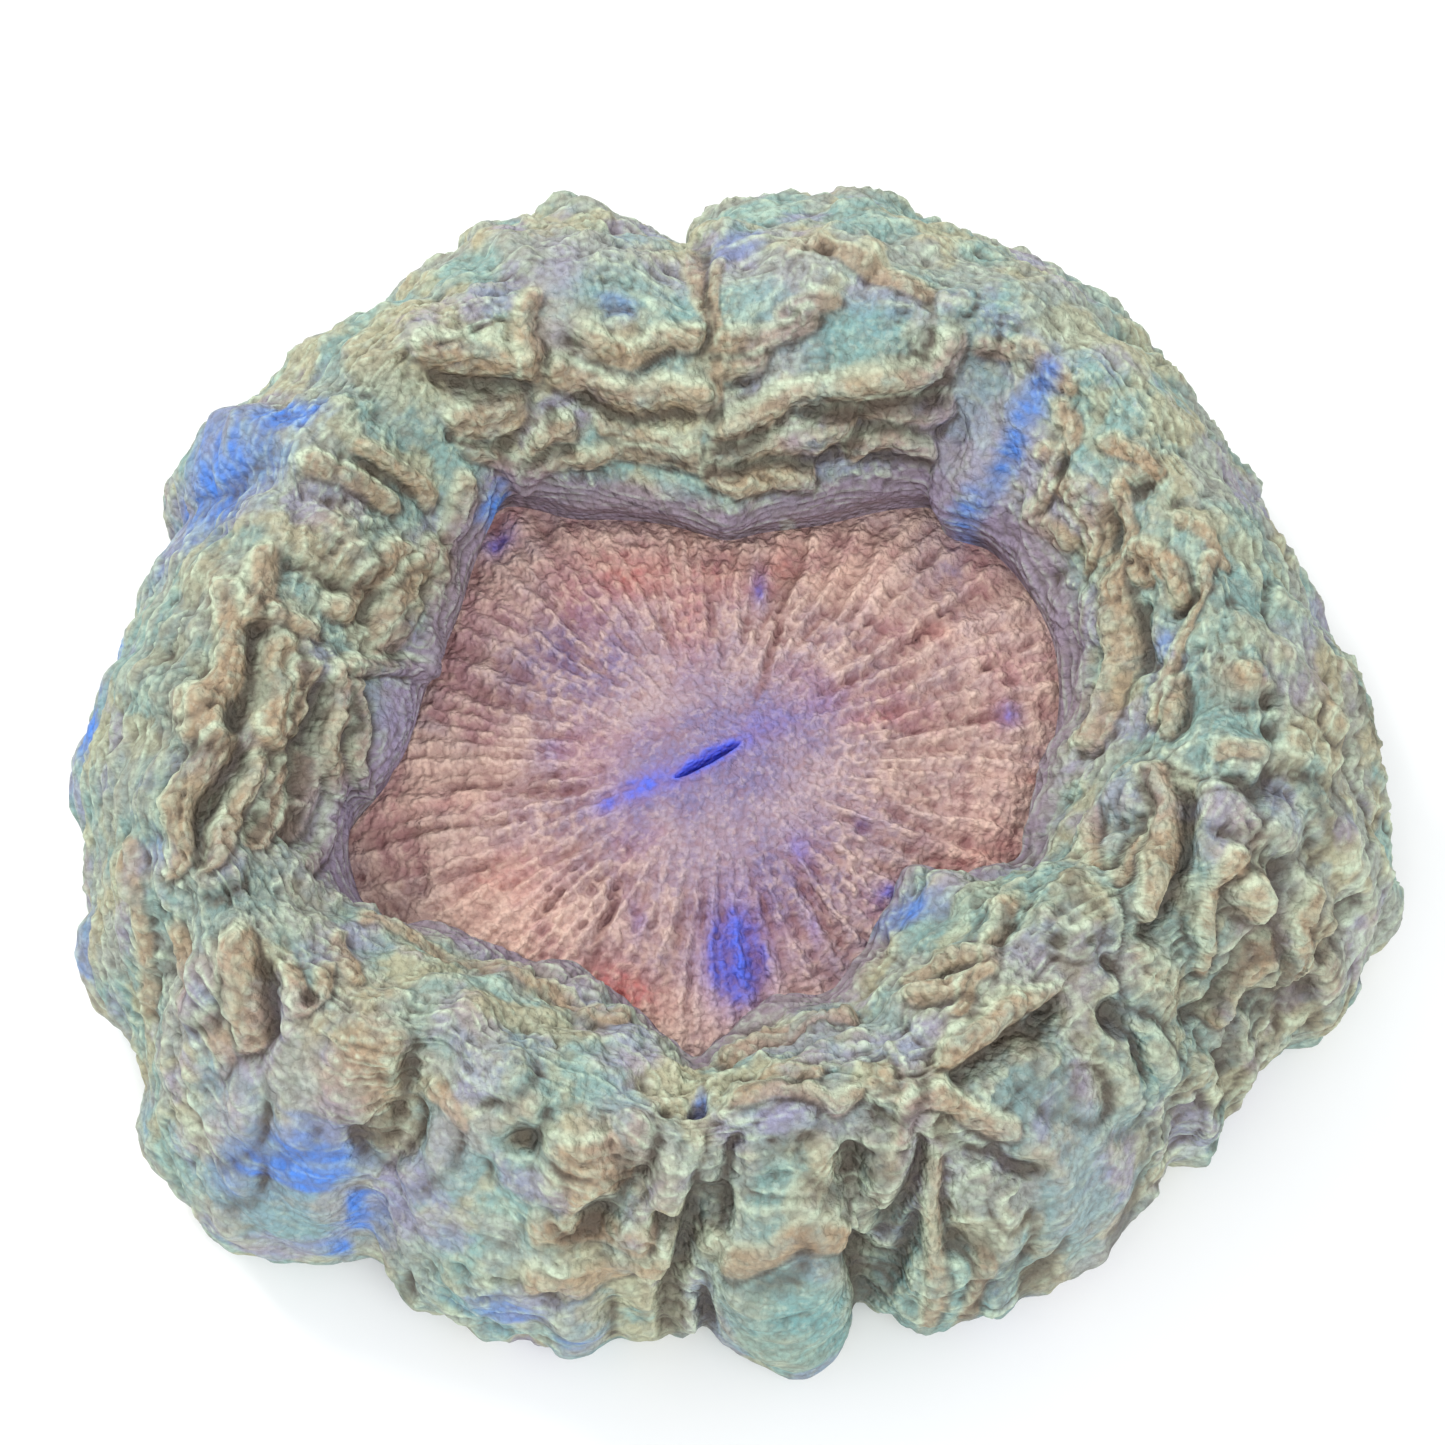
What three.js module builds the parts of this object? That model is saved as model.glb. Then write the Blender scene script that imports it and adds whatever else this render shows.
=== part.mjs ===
import * as THREE from "three";

// Large solitary polyp coral seen as one body of flesh: a sunken oval disc with a slit mouth
// and a swollen folded mantle round it, cut off flat where it stands.
// Millimetres, Z up, origin at the centre of the flat underside's bounding box.

// Driving dimensions
const AROUND = 144;
const MOUTH_X = -3;
const MOUTH_Y = 1;
const MANTLE_HEIGHT = 45.5;
const DISC_EDGE_HEIGHT = 23;
const LIP_BLEND = 0.25;
const RIDGE_LEAN = 0.45;
const SWELLING = 1.1;
const FOLD_SOFTNESS = 0.8;
const FOLD_STRENGTH = 1.25;
const RIM_SHARE = 0.82;
const RIM_STRENGTH = 0.3;
const SLIT_LENGTH = 5.2;
const SLIT_WIDTH = 1.1;
const SLIT_TURN = 32;
const SLIT_DEPTH = 5;
const SEPTA = 48;
const SEPTUM_RISE = 0.35;
const BASE_DRAW_IN = 0.92;

// Widest outline, angle in degrees from +X and radius from the mouth
const OUTLINE = [
  [0, 82], [5, 82.5], [10, 81], [15, 79.8], [25, 79.2], [35, 79.4], [40, 81.2],
  [45, 83], [50, 84.2], [60, 84], [65, 84.8], [70, 84.4], [75, 87], [80, 86],
  [85, 84.6], [90, 82.3], [93, 77.3], [96, 79], [100, 83.2], [103, 86], [105, 85.2],
  [110, 83.8], [112, 85], [115, 82.2], [120, 81.2], [125, 77.4], [130, 79.2], [135, 80.2],
  [140, 80], [145, 81.8], [150, 81], [153.6, 76], [156, 77.2], [160, 77.4],
  [165, 77], [170, 77.2], [174, 78.6], [180, 79], [190, 77], [195, 78.7], [200, 78.4],
  [205, 75.3], [210, 77.6], [215, 79.7], [220, 79.4], [225, 78.8], [230, 75.7], [235, 69],
  [240, 72], [245, 71.4], [250, 70.4], [255, 69], [260, 67.4], [265, 67.2], [270, 66.6],
  [275, 69], [280, 69], [285, 64.8], [290, 68], [295, 70.6], [300, 71.6], [305, 71.5],
  [315, 71.5], [320, 71.8], [323, 74.3], [327, 73], [330, 73], [335, 75.5], [340, 80],
  [345, 81.5], [350, 84.6], [355, 83.2],
];

// Edge of the disc under the lip, angle and radius from the mouth
const DISC_EDGE = [
  [0, 40], [10, 42], [20, 43.5], [30, 44], [40, 43.5], [47, 41], [52, 42.5], [55, 41],
  [67, 33.5], [80, 29.5], [88, 28], [102, 31], [110, 33], [118, 35.5], [126, 41],
  [130, 41], [139, 38], [152, 35], [168, 35], [183, 37], [193, 43.5], [200, 45],
  [208, 44.5], [220, 37], [237, 33], [255, 33], [262, 36], [268, 38], [276, 33.5],
  [295, 33.5], [303, 31], [323, 27.5], [330, 32], [339, 38], [351, 38],
];

// How far the disc runs on under the lip, and how much the lip stands above its mean height
const TUCK = [
  [0, 0.7], [30, 0.9], [60, 1.6], [90, 2.4], [120, 2.2], [150, 2.4], [185, 2],
  [215, 0.8], [270, 0.7], [330, 0.7],
];
const LIP_RISE = [
  [0, -1.6], [45, -0.6], [75, 0.8], [110, 1.2], [160, 1.2], [190, 0.4], [230, -1.4],
  [268, -1.8], [300, -1.6],
];

// How much the crest of the mantle stands above its mean height
const CREST_RISE = [
  [0, -1], [40, 0], [70, 1.4], [93, -0.6], [115, 1], [150, 0.4], [180, 1.4], [215, -0.6],
  [240, -1], [268, -3], [290, -1], [325, -2.4], [345, -0.6],
];

// Mantle from lip to widest ring: path share, share of the way out, height
const MANTLE = [
  [0, 0, 28], [0.06, 0.015, 31], [0.15, 0.11, 35.5], [0.25, 0.23, 41], [0.38, 0.39, 45.5],
  [0.5, 0.53, 45.5], [0.65, 0.71, 38.5], [0.8, 0.87, 27.5], [0.92, 0.965, 17], [1, 1, 10],
];

// Disc from mouth to edge: path share and height over the edge
const DISC = [
  [0, 3.4], [0.12, 3.1], [0.3, 1.9], [0.55, 0.6], [0.8, 0.5], [0.93, 0.7], [1, 0],
];

// Path shares of the rings on the mantle, and the rings that curl in to the cut
const MANTLE_RINGS = [
  0, 0.05, 0.1, 0.15, 0.19, 0.23, 0.27, 0.31, 0.35, 0.39, 0.43, 0.47, 0.51, 0.55, 0.59,
  0.63, 0.67, 0.71, 0.75, 0.8, 0.85, 0.9, 0.95, 1,
];
const CURL = [[0.99, 5], [0.96, 1.8]];
const DISC_RINGS = [0.25, 0.45, 0.65, 0.85, 1];

// Folds: half width, height, then plan points
const RIDGES = [
  // Rear ropes
  [2.3, 3.2, [25.2, 46], [23.6, 43.8], [19, 43.3], [12, 42.2], [6, 41.8], [2.5, 40], [-2, 38.4]],
  [1.6, 2.2, [15.5, 40.6], [20, 40.8], [25, 41.2]],
  [1.6, 2.2, [13.5, 37.2], [18, 38], [22.6, 37.8]],
  [1.8, 2.4, [13, 39.8], [9.5, 37.8], [6, 36.9], [2, 36.6], [-2.5, 35.5]],
  [1.5, 1.6, [-3, 33.9], [0, 33.5], [4, 34], [8, 34.2]],
  [2.2, 2.6, [-21.5, 43.9], [-17, 42.6], [-12, 42.2], [-7, 41.8], [-4, 41.4]],
  [2, 2, [-18, 46.9], [-13, 46.2], [-9, 47.2], [-5.5, 47.6]],
  [1.8, 2.2, [-25, 51], [-25.8, 48.5], [-24.8, 46], [-25, 43.6]],
  [2.6, 3, [-36.5, 45], [-33.5, 44.6], [-30.5, 44.7], [-26.5, 44.3]],
  [2.4, 2.6, [-34, 38.4], [-31.5, 40], [-27.5, 40.2]],
  [1.5, 2, [-24.5, 37.3], [-22.6, 38.2], [-20.8, 38.6]],
  [1.4, 1.6, [-33, 36], [-29.5, 36.8], [-27, 35.8]],
  [1.4, 1.8, [-25.5, 35.2], [-21, 35.8], [-17, 36.7], [-12, 36.5], [-8, 35.8], [-4, 34.9]],
  [1.4, 1.6, [-16.5, 39.4], [-11.5, 38.5], [-8.5, 37], [-5.5, 36.2]],
  [1.8, 1.8, [-1.8, 47.7], [4, 48.4], [8.5, 49.3]],
  [1.6, 1.6, [-2.2, 44.8], [2, 45.6]],
  [1.6, 1.4, [5, 50.8], [11, 51]],
  [1.5, 1.3, [9, 59], [14, 56.6], [19, 54.2], [22.5, 52.2]],
  [1.2, 1, [-5.8, 60], [-5.4, 55], [-4.4, 50]],
  [1.2, 1, [-2.6, 58], [-3.4, 52], [-2.6, 46], [-2.8, 42]],
  // Left ropes
  [2.6, 3, [-57.8, 11], [-58, 6], [-58.6, 2], [-60.2, -1.5], [-60.5, -5]],
  [2.2, 2.8, [-53.2, 5.5], [-53, 1.5], [-54, -2], [-53.6, -5]],
  [1.6, 2.2, [-51, 4.5], [-50.8, 0], [-51.4, -3.5]],
  [1.7, 2.6, [-47.3, 5.5], [-47.1, 0], [-47.5, -4], [-46.6, -7]],
  [1.4, 2.4, [-45, 6], [-44.8, 1], [-44.6, -3], [-44, -6]],
  [1.6, 2, [-46, 6.2], [-43, 8], [-40, 9.6], [-36.8, 9.6]],
  [1.8, 2.2, [-40, 21.8], [-44, 17.5], [-46.6, 12.5]],
  [1.8, 2, [-36, 24.5], [-38.5, 20.5], [-41, 16.5], [-42.5, 11.5]],
  [1.3, 1.5, [-38.5, 16], [-40.5, 12.5], [-43, 9.5]],
  [1.6, 1.6, [-35.4, 21], [-34.6, 25], [-33.6, 29], [-33.4, 32.5]],
  [1.6, 1.8, [-53.5, 9.3], [-49.5, 9.3]],
  [1.8, 2, [-50, 29], [-46, 28], [-41.5, 27.5]],
  [1.4, 1.6, [-44.5, 32], [-40, 31.4], [-37, 29.5]],
  [1.6, 2.2, [-55, -8.6], [-57, -13], [-58.2, -17], [-58.6, -21]],
  [2, 2.2, [-58.6, -7], [-61, -10.5], [-62.6, -15], [-63, -20]],
  [1.6, 2, [-52.4, -8], [-53.5, -13], [-55, -17.5]],
  [1.6, 2, [-49.6, -6], [-50.2, -10], [-51.8, -14]],
  [1.5, 1.6, [-46.8, -9], [-48, -14], [-49.5, -18.5]],
  [2.2, 2, [-54.5, 17], [-55.4, 12.5], [-55, 9]],
  // Lower left
  [2.2, 3, [-55, -30.5], [-54.6, -35], [-54, -39.6]],
  [1.6, 2, [-58.2, -36.5], [-57.4, -41]],
  [1.3, 1.6, [-49.8, -33.5], [-48.6, -37.8], [-46.4, -36], [-45.6, -32]],
  [1.2, 1.4, [-45.2, -28], [-42.6, -33]],
  [1.2, 1.2, [-63.4, -26], [-62.2, -30], [-61.6, -34.5]],
  [1.2, 1.2, [-69, -16], [-68.2, -24], [-68, -30]],
  [1.2, 1.2, [-33, -45.5], [-30.4, -49.6]],
  [1.2, 1.2, [-43, -25], [-36, -27], [-28, -29.6], [-20, -32.4], [-13, -36]],
  // Bottom
  [1.8, 2, [-19.8, -51.4], [-15.5, -52], [-13.4, -54.2]],
  [1.3, 1.2, [-22.5, -58.4], [-14, -58.8], [-10.5, -59.2]],
  [1.4, 1.4, [-23.5, -61.6], [-18.5, -62], [-13, -61.8], [-8.6, -61.4]],
  [1.3, 1.8, [0.5, -47], [5, -47.4], [8, -47.4], [10, -48.6], [12, -47.4]],
  [1.3, 1.6, [1.5, -45.6], [5, -45.4], [8.6, -45]],
  [1.4, 1.6, [-2, -40], [2.5, -37.4], [8, -36.4], [12.5, -36]],
  [1.5, 1.8, [17.2, -50.6], [18, -48], [21, -47.4], [24, -48.2], [29, -48.6]],
  [1.6, 1.8, [21.6, -53.5], [21.6, -56.5], [22.2, -60], [22.6, -63]],
  [1.3, 1.3, [27.2, -59], [26.6, -63]],
  // Lower right
  [2, 2.8, [29.6, -37], [27, -39.4], [24.5, -41.4], [22.4, -43.6]],
  [1.7, 2.2, [29.5, -36.2], [34.8, -34.8]],
  [1.4, 1.8, [19.5, -32], [23.5, -31], [27, -30]],
  [1.4, 1.8, [20, -35.4], [24, -34.2]],
  [1.5, 1.8, [23.6, -37.6], [24.6, -35], [26.8, -32.6], [27.6, -28.6], [29.8, -24]],
  [1.6, 2, [40.8, -12], [39.6, -18.4]],
  [1.7, 2.2, [45.2, -16.6], [42.2, -21.4]],
  [1.5, 1.8, [56, -19], [53.2, -22.4], [52.2, -25], [52, -28.6]],
  [2, 2.2, [59.8, -26.5], [56.6, -29], [54.4, -32.6]],
  [1.8, 1.8, [65.5, -20], [64, -25], [62.8, -27.5]],
  // Right
  [2.2, 3, [44.4, 18.2], [45, 14.5], [45.6, 9.5], [45, 6.5], [43.5, 4], [42.5, 1.5], [41.2, -1]],
  [1.4, 2, [54.8, 17], [53.3, 12], [51.5, 8], [49, 5], [48.2, 1.5], [47.4, -1]],
  [1.7, 2.2, [49.8, 3.4], [49.6, 0], [49.2, -2.6]],
  [1.9, 2.4, [46.6, 20.4], [49.4, 18.8], [50.8, 16.5], [51.2, 13.6]],
  [2.6, 3.2, [47.6, -9], [47.8, -12.5], [47.2, -17.5], [46.5, -21], [45.4, -24.6]],
  [1.6, 1.6, [55, -7.4], [58.4, -7.4]],
  [1.3, 1.4, [43.6, 20.8], [46.5, 19], [47.8, 16.5]],
  [1.6, 1.8, [41.5, 27], [43, 25], [42.4, 22.4]],
  [1.4, 1.4, [29, 46.3], [33, 45.8], [36.7, 43.2], [40, 40.5]],
  [1.3, 1.2, [38.5, 38.8], [39.3, 36], [40, 33.4]],
  [1.4, 1.6, [36.3, 34.5], [38, 33.6], [37.3, 31.2], [36.3, 29.8]],
  [1.5, 1.8, [38.6, 30.6], [41.5, 28.8], [43.4, 26]],
  [1.5, 1.8, [40.4, 28.6], [41.6, 25.5], [41.4, 21.5]],
  [1.4, 1.6, [35, 29.3], [37.5, 27], [39.3, 24.6]],
  [1.4, 1.5, [44.6, 28], [45, 24], [46.2, 20.8]],
  [1.4, 1.4, [51, 22.3], [54.6, 20], [56.6, 17]],
  [1.6, 1.6, [43.5, 33.5], [47, 31.5], [49.6, 28.6]],
];

// Crevices: half width, depth, then plan points
const CREVICES = [
  [1.4, 3, [24.6, 43.8], [21.6, 41.4], [16, 40.8], [8.6, 40.2]],
  [1.4, 2.6, [2.6, 38.4], [-2.2, 36.9]],
  [1.2, 2.4, [14.7, 39.2], [12.7, 37.2], [9.5, 35.6], [3, 35.2], [-3.5, 34.4]],
  [1.1, 2, [15, 36.1], [22.4, 36.2]],
  [1, 1.8, [15.4, 39.2], [24.8, 39.2]],
  [1.3, 2, [-19, 41.6], [-15.5, 40.6], [-10, 40.4], [-6, 39.8]],
  [1.6, 2.8, [-36.5, 42], [-31.5, 42.2], [-26, 42]],
  [1.1, 1.6, [-25, 36.2], [-20.8, 36.7]],
  [1.1, 1.4, [-11.4, 45.2], [-8.2, 45.8]],
  [1, 1.5, [-9.5, 36.2], [-6.4, 35]],
  [1.8, 2.2, [-4.6, 64], [-4.4, 58], [-4, 52], [-3.6, 46], [-3.6, 40], [-3.6, 35]],
  [1.5, 3, [-55.4, 7.4], [-55.4, 1], [-56.6, -2], [-57.8, -5]],
  [1.5, 3.2, [-48.8, 3], [-49.2, -2], [-50.4, -6], [-51, -8.6]],
  [0.9, 1.8, [-46, 3.2], [-46, -2.8]],
  [1.1, 2.4, [-43.4, 4], [-43.2, 0], [-43.8, -3]],
  [1.1, 2.2, [-43.6, 16], [-44, 12.6]],
  [1.6, 3.2, [-57, -8], [-58.6, -10.8], [-60, -13.6], [-60.4, -17], [-60, -20.5]],
  [1.2, 2.2, [-54.6, -13.6], [-55.6, -17.4]],
  [1.2, 2.2, [-50.6, -11], [-51.6, -14.6]],
  [1.2, 1.8, [-44, 30], [-39, 29.4]],
  [1.5, 2.8, [-52.5, -33.4], [-52.1, -39.4]],
  [1.2, 2.4, [0.3, -51], [-0.8, -52.2], [-1.2, -54.4], [-2, -56.4]],
  [1.9, 4, [-2.4, -56.8], [-5, -57], [-5.8, -58.6], [-6.2, -62], [-7.2, -64], [-8.4, -66]],
  [1.2, 2.6, [-9.2, -58.3], [-6, -58.3]],
  [1.5, 3, [-3.6, -64.6], [-4.6, -67]],
  [1.1, 1.4, [3, -51.8], [7.6, -51.8]],
  [1.1, 1.6, [12, -52], [15, -51.7]],
  [1, 1.6, [1.2, -61.6], [6, -61.6]],
  [1.6, 3, [20, -52.4], [19.4, -53.6], [18, -55], [17.4, -56.6], [15.8, -57.2]],
  [1.5, 2.8, [19.4, -57.6], [17.8, -59], [17.4, -60.2], [15, -60.4]],
  [1.9, 3.6, [13.4, -59.4], [13.8, -60.6], [14.4, -63], [13.8, -66]],
  [1.7, 3.2, [35.3, -36.2], [32.5, -38.4], [30.4, -39.2], [28.4, -41], [27, -42.6], [23.6, -45.4]],
  [1, 1.4, [20, -33.2], [23.2, -32.2]],
  [1, 1.4, [20.4, -36.6], [24, -35.6]],
  [1.1, 1.8, [30, -24.6], [28, -28.2]],
  [1, 1.4, [43.4, -36.6], [43.8, -40.4]],
  [1.6, 3, [61, -25.4], [57, -27.4], [54.6, -29.6], [53, -32.4], [51.4, -33.6]],
  [1.5, 2.6, [62.4, -26.6], [61.4, -29.6], [57.8, -31.2]],
  [1.4, 2.4, [57.4, -32.4], [56.4, -35], [55.2, -37.6]],
  [1.3, 2.2, [67.6, -27.4], [64.4, -28.4], [62.8, -29.8]],
  [1.3, 2.4, [70, -19.6], [68.8, -22.4], [67.4, -24.8]],
  [1.4, 2, [37, -55.6], [36.4, -58.4], [33.4, -60.4]],
  [1.2, 2, [47.8, -46], [46, -49.6], [43, -53.8]],
  [1.2, 1.8, [22, -51.3], [28.6, -51.3], [31, -52], [32.4, -51.4]],
  [1.2, 1.8, [24.4, -58.8], [27.6, -58.2]],
  [1.2, 1.8, [29.4, -58.8], [32.6, -57.6]],
  [1.5, 3.2, [50.2, -12], [50, -16], [49.4, -20.4], [48.2, -24.6], [45.4, -27]],
  [1.2, 2.2, [44.8, -15.6], [43, -17.6], [41.4, -19.4]],
  [1.2, 2, [46.6, -9.4], [46.2, -12.6]],
  [1.9, 3, [61.8, -19.4], [61.6, -22], [60, -25]],
  [1.2, 2, [55.4, -10.3], [58, -10.5], [60, -8.4]],
  [1.2, 2, [47.2, 13.4], [47.4, 10.6], [47.3, 6]],
  [1.1, 1.6, [50.8, 3], [50.8, -2.6]],
  [1.2, 1.8, [50.6, 12], [53, 13.6]],
  [1.2, 1.6, [43.4, 26], [43.9, 22.4]],
  [1.1, 1.4, [61.6, 17], [61.8, 10.4]],
  [1.3, 2, [73, -17.4], [70.6, -20.4]],
];

// Lumps and blisters: plan point, radius, height
const LUMPS = [
  [-60.6, -4.6, 3.4, 2], [-62.4, -1.4, 2.8, 1.6], [-53.8, -4.6, 3, 1.8], [-47.2, 19.6, 4, 2.4],
  [-51, 19.2, 2.6, 1.6], [-48, 28, 3, 1.4], [-58, -21.6, 3.2, 1.6], [-65, -13, 3, 1.2],
  [-59.6, -33.4, 3.4, 2], [-41, -43, 5, 2.4], [-38.2, -41.4, 2.6, 1.8], [-38.6, -46.2, 3.4, 1.8],
  [-25, -45, 2.8, 1.8], [-23.8, -48.6, 3, 2], [-56.6, -45.4, 4, 1.8], [-56.4, -49.6, 3, 1.6],
  [-50, -47.5, 3, 1], [-34.5, -51, 3.6, 1.2], [-17.8, -53.8, 5, 3], [-12.4, -51.4, 3.2, 2.2],
  [-8, -55.2, 3, 1.8], [-18.7, -65.6, 3.6, 2.4], [5, -49.8, 3, 1.2], [15.8, -46.4, 3.4, 2.2],
  [9, -53, 2.6, 1.6], [3.4, -59.4, 3.4, 2], [5.6, -64, 9, 2.6], [16, -52.8, 3.6, 2.2],
  [9.6, -57, 3, 1.4], [18, -42, 2.8, 1.4], [33, -43, 3.2, 1.6], [36.8, -42.8, 3, 2],
  [41, -43.2, 3, 1.6], [38, -50, 9, 2.2], [31, -50.6, 2.2, 1.6], [28.4, -56, 4.6, 1.8],
  [23.6, -62, 3.2, 1.8], [58.8, -34.4, 2.8, 1.8], [54, -38.8, 2.6, 1.6], [57.4, -22, 2.6, 2],
  [44, -11.4, 3, 1.6], [57, -8, 3.6, 2], [54.4, -13.4, 3.6, 1.8], [56.8, -15.4, 2.4, 1.8],
  [61, -14.4, 3.8, 1.8], [57.6, 2, 3.2, 1.6], [45.4, 18, 2.6, 1.4], [47, 30.4, 3, 1.4],
  [25.7, 51, 2.6, 1.8], [28.3, 47.8, 2.6, 1.6], [20, 48, 3, 1.4], [34, 51.4, 3.4, 1],
  [17.5, 51.4, 2.4, 1.2], [-21.3, 48, 2.4, 1], [-38.4, 46, 2.8, 1.2], [-29, 58, 4, 1],
  [-62, 36, 7, 2.4], [-72, 8, 6, 1.6], [-70, -8, 6, 1.4], [47, -40, 4, 1.2],
  [46.4, -31, 4, 1], [36, -27.6, 3.4, 1.2], [66, -4, 4, 1], [68, 2, 4, 1],
];

// Pits: plan point, radius, depth
const PITS = [
  [10.8, 58, 1.6, 1.6], [-20.5, 47, 1.3, 1.6], [-28.5, 37.4, 1.5, 2], [-22.8, 39.6, 1.3, 1.8],
  [-3, 32.2, 1.3, 1.4], [-48, -36.4, 1.6, 2.4], [-36, -44, 1.6, 1.8], [-42, -48.6, 1.6, 1.8],
  [-23.4, -50.8, 1.8, 2], [-28, -54, 1.5, 1.4], [-15.8, -57, 2.2, 3], [-38.5, -60.5, 1.6, 1.8],
  [-4.6, -47.4, 1.5, 2.6], [-8, -48.4, 1.4, 1.8], [11.2, -58.6, 1.8, 2], [22, -50.4, 1.6, 2],
  [41.3, -31.3, 1.6, 2], [41.7, -35.8, 2.2, 3], [35.3, -29, 1.6, 1.8], [53, -41, 1.4, 1.4],
  [60, 0.2, 1.6, 1.8], [60.3, -3.4, 1.6, 1.4], [69.5, -5.8, 1.8, 1.8], [72.5, -8.5, 1.8, 1.8],
  [69, 4, 1.8, 1.8], [70.5, -0.6, 1.6, 1.4], [57.2, 12, 1.6, 1.4], [37.6, 22.2, 1.5, 1.6],
  [42.5, 36.8, 1.3, 1.2], [38.8, 32, 1.6, 1.8], [51, 24.5, 1.5, 1.4], [47.2, 26.6, 1.5, 1.4],
  [-59.2, 25.6, 1.6, 1.2],
];

const radians = THREE.MathUtils.degToRad;
const clamp = THREE.MathUtils.clamp;

// Closed smooth curve through a table of angle and value
function loop(table, angle) {
  const n = table.length;
  const a = ((angle % 360) + 360) % 360;
  let i = n - 1;
  while (i > 0 && table[i][0] > a) i -= 1;
  const gap = (p, q) => (((q - p) % 360) + 360) % 360;
  const [before, here, next, after] = [i - 1, i, i + 1, i + 2].map((k) => table[(k + n) % n]);
  const span = gap(here[0], next[0]);
  const u = gap(here[0], a) / span;
  const slopeHere = ((next[1] - before[1]) / gap(before[0], next[0])) * span;
  const slopeNext = ((after[1] - here[1]) / gap(here[0], after[0])) * span;
  return hermite(u, here[1], slopeHere, next[1], slopeNext);
}

function hermite(u, value, slope, nextValue, nextSlope) {
  const u2 = u * u;
  const u3 = u2 * u;
  const rise = nextValue * (3 * u2 - 2 * u3) + value * (1 - 3 * u2 + 2 * u3);
  return rise + slope * (u3 - 2 * u2 + u) + nextSlope * (u3 - u2);
}

// Open smooth curve through one column of a table
function curve(table, column, share) {
  const last = table.length - 1;
  let i = 0;
  while (i < last - 1 && table[i + 1][0] < share) i += 1;
  const slopeAt = (k) => {
    const p = table[Math.max(k - 1, 0)];
    const q = table[Math.min(k + 1, last)];
    return (q[column] - p[column]) / (q[0] - p[0]);
  };
  const span = table[i + 1][0] - table[i][0];
  const u = clamp((share - table[i][0]) / span, 0, 1);
  return hermite(u, table[i][column], slopeAt(i) * span, table[i + 1][column], slopeAt(i + 1) * span);
}

// Plain mantle without its folds
function mantlePoint(angle, share) {
  const inner = loop(DISC_EDGE, angle);
  const radius = inner + curve(MANTLE, 1, share) * (loop(OUTLINE, angle) - inner);
  const lip = loop(LIP_RISE, angle) * Math.max(0, 1 - share / LIP_BLEND);
  const height = curve(MANTLE, 2, share);
  const crest = loop(CREST_RISE, angle) * clamp(height / MANTLE_HEIGHT, 0, 1) ** 2;
  return new THREE.Vector3(
    MOUTH_X + radius * Math.cos(radians(angle)),
    MOUTH_Y + radius * Math.sin(radians(angle)),
    height + lip + crest,
  );
}

// Shortest plan distance from a point to a line of points
function distanceTo(x, y, points) {
  let nearest = Infinity;
  for (let i = 0; i + 1 < points.length; i += 1) {
    const [ax, ay] = points[i];
    const dx = points[i + 1][0] - ax;
    const dy = points[i + 1][1] - ay;
    const t = clamp(((x - ax) * dx + (y - ay) * dy) / (dx * dx + dy * dy), 0, 1);
    nearest = Math.min(nearest, Math.hypot(x - ax - t * dx, y - ay - t * dy));
  }
  return nearest;
}

function bump(distance, reach) {
  const u = distance / reach;
  return u < 1 ? (1 - u * u) ** 1.5 : 0;
}

// Height of the folds and depth of the crevices at one plan point
function foldsAtPoint(x, y) {
  let raised = 0;
  let sunk = 0;
  for (const [reach, height, ...points] of RIDGES) {
    raised = Math.max(raised, height * bump(distanceTo(x, y, points), reach + 0.6));
  }
  let swollen = 0;
  for (const [lx, ly, reach, height] of LUMPS) {
    swollen = Math.max(swollen, height * bump(Math.hypot(x - lx, y - ly), reach));
  }
  for (const [reach, depth, ...points] of CREVICES) {
    sunk = Math.max(sunk, depth * bump(distanceTo(x, y, points), reach + 0.4));
  }
  for (const [px, py, reach, depth] of PITS) {
    sunk = Math.max(sunk, depth * bump(Math.hypot(x - px, y - py), reach + 0.5));
  }
  return [Math.max(raised, swollen) + 0.35 * Math.min(raised, swollen), sunk];
}

// The same softened over the five points of a small cross, so that no fold is thinner than a facet
function foldsAt(x, y) {
  const cross = [[0, 0], [1, 0], [-1, 0], [0, 1], [0, -1]];
  const all = cross.map(([dx, dy]) => foldsAtPoint(x + FOLD_SOFTNESS * dx, y + FOLD_SOFTNESS * dy));
  return [0, 1].map((k) => all.reduce((sum, one) => sum + one[k], 0) / cross.length);
}

// Uneven swelling of the flesh between the larger folds and down the flank
function unevenness(p) {
  const bend = 0.9 * Math.sin(0.21 * p.y + 0.11 * p.z);
  const slow = Math.sin(0.23 * p.x + bend) * Math.cos(0.25 * p.y - 0.17 * p.z);
  const quick = Math.sin(0.61 * p.x + 0.38 * p.z + bend) * Math.cos(0.57 * p.y - 0.44 * p.z);
  return SWELLING * (0.8 * slow + 0.6 * quick);
}

// Mantle with its folds: they stand out along the surface and lean over the disc
function foldedPoint(angle, share) {
  const p = mantlePoint(angle, share);
  const step = 0.01;
  const along = mantlePoint(angle, Math.min(share + step, 1)).sub(mantlePoint(angle, Math.max(share - step, 0)));
  const across = mantlePoint(angle + 1, share).sub(mantlePoint(angle - 1, share));
  const outward = along.cross(across).normalize();
  const [raised, sunk] = foldsAt(p.x, p.y);
  const lipFade = clamp(share / 0.08, 0, 1);
  const towardRim = clamp((share - RIM_SHARE) / (1 - RIM_SHARE), 0, 1);
  const strength = FOLD_STRENGTH * (1 - (1 - RIM_STRENGTH) * towardRim);
  const offset = ((raised - sunk) * strength + unevenness(p)) * lipFade;
  const inward = new THREE.Vector3(MOUTH_X - p.x, MOUTH_Y - p.y, 0).normalize();
  p.addScaledVector(outward, offset);
  p.addScaledVector(inward, RIDGE_LEAN * raised * lipFade * (1 - share));
  return p;
}

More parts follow.
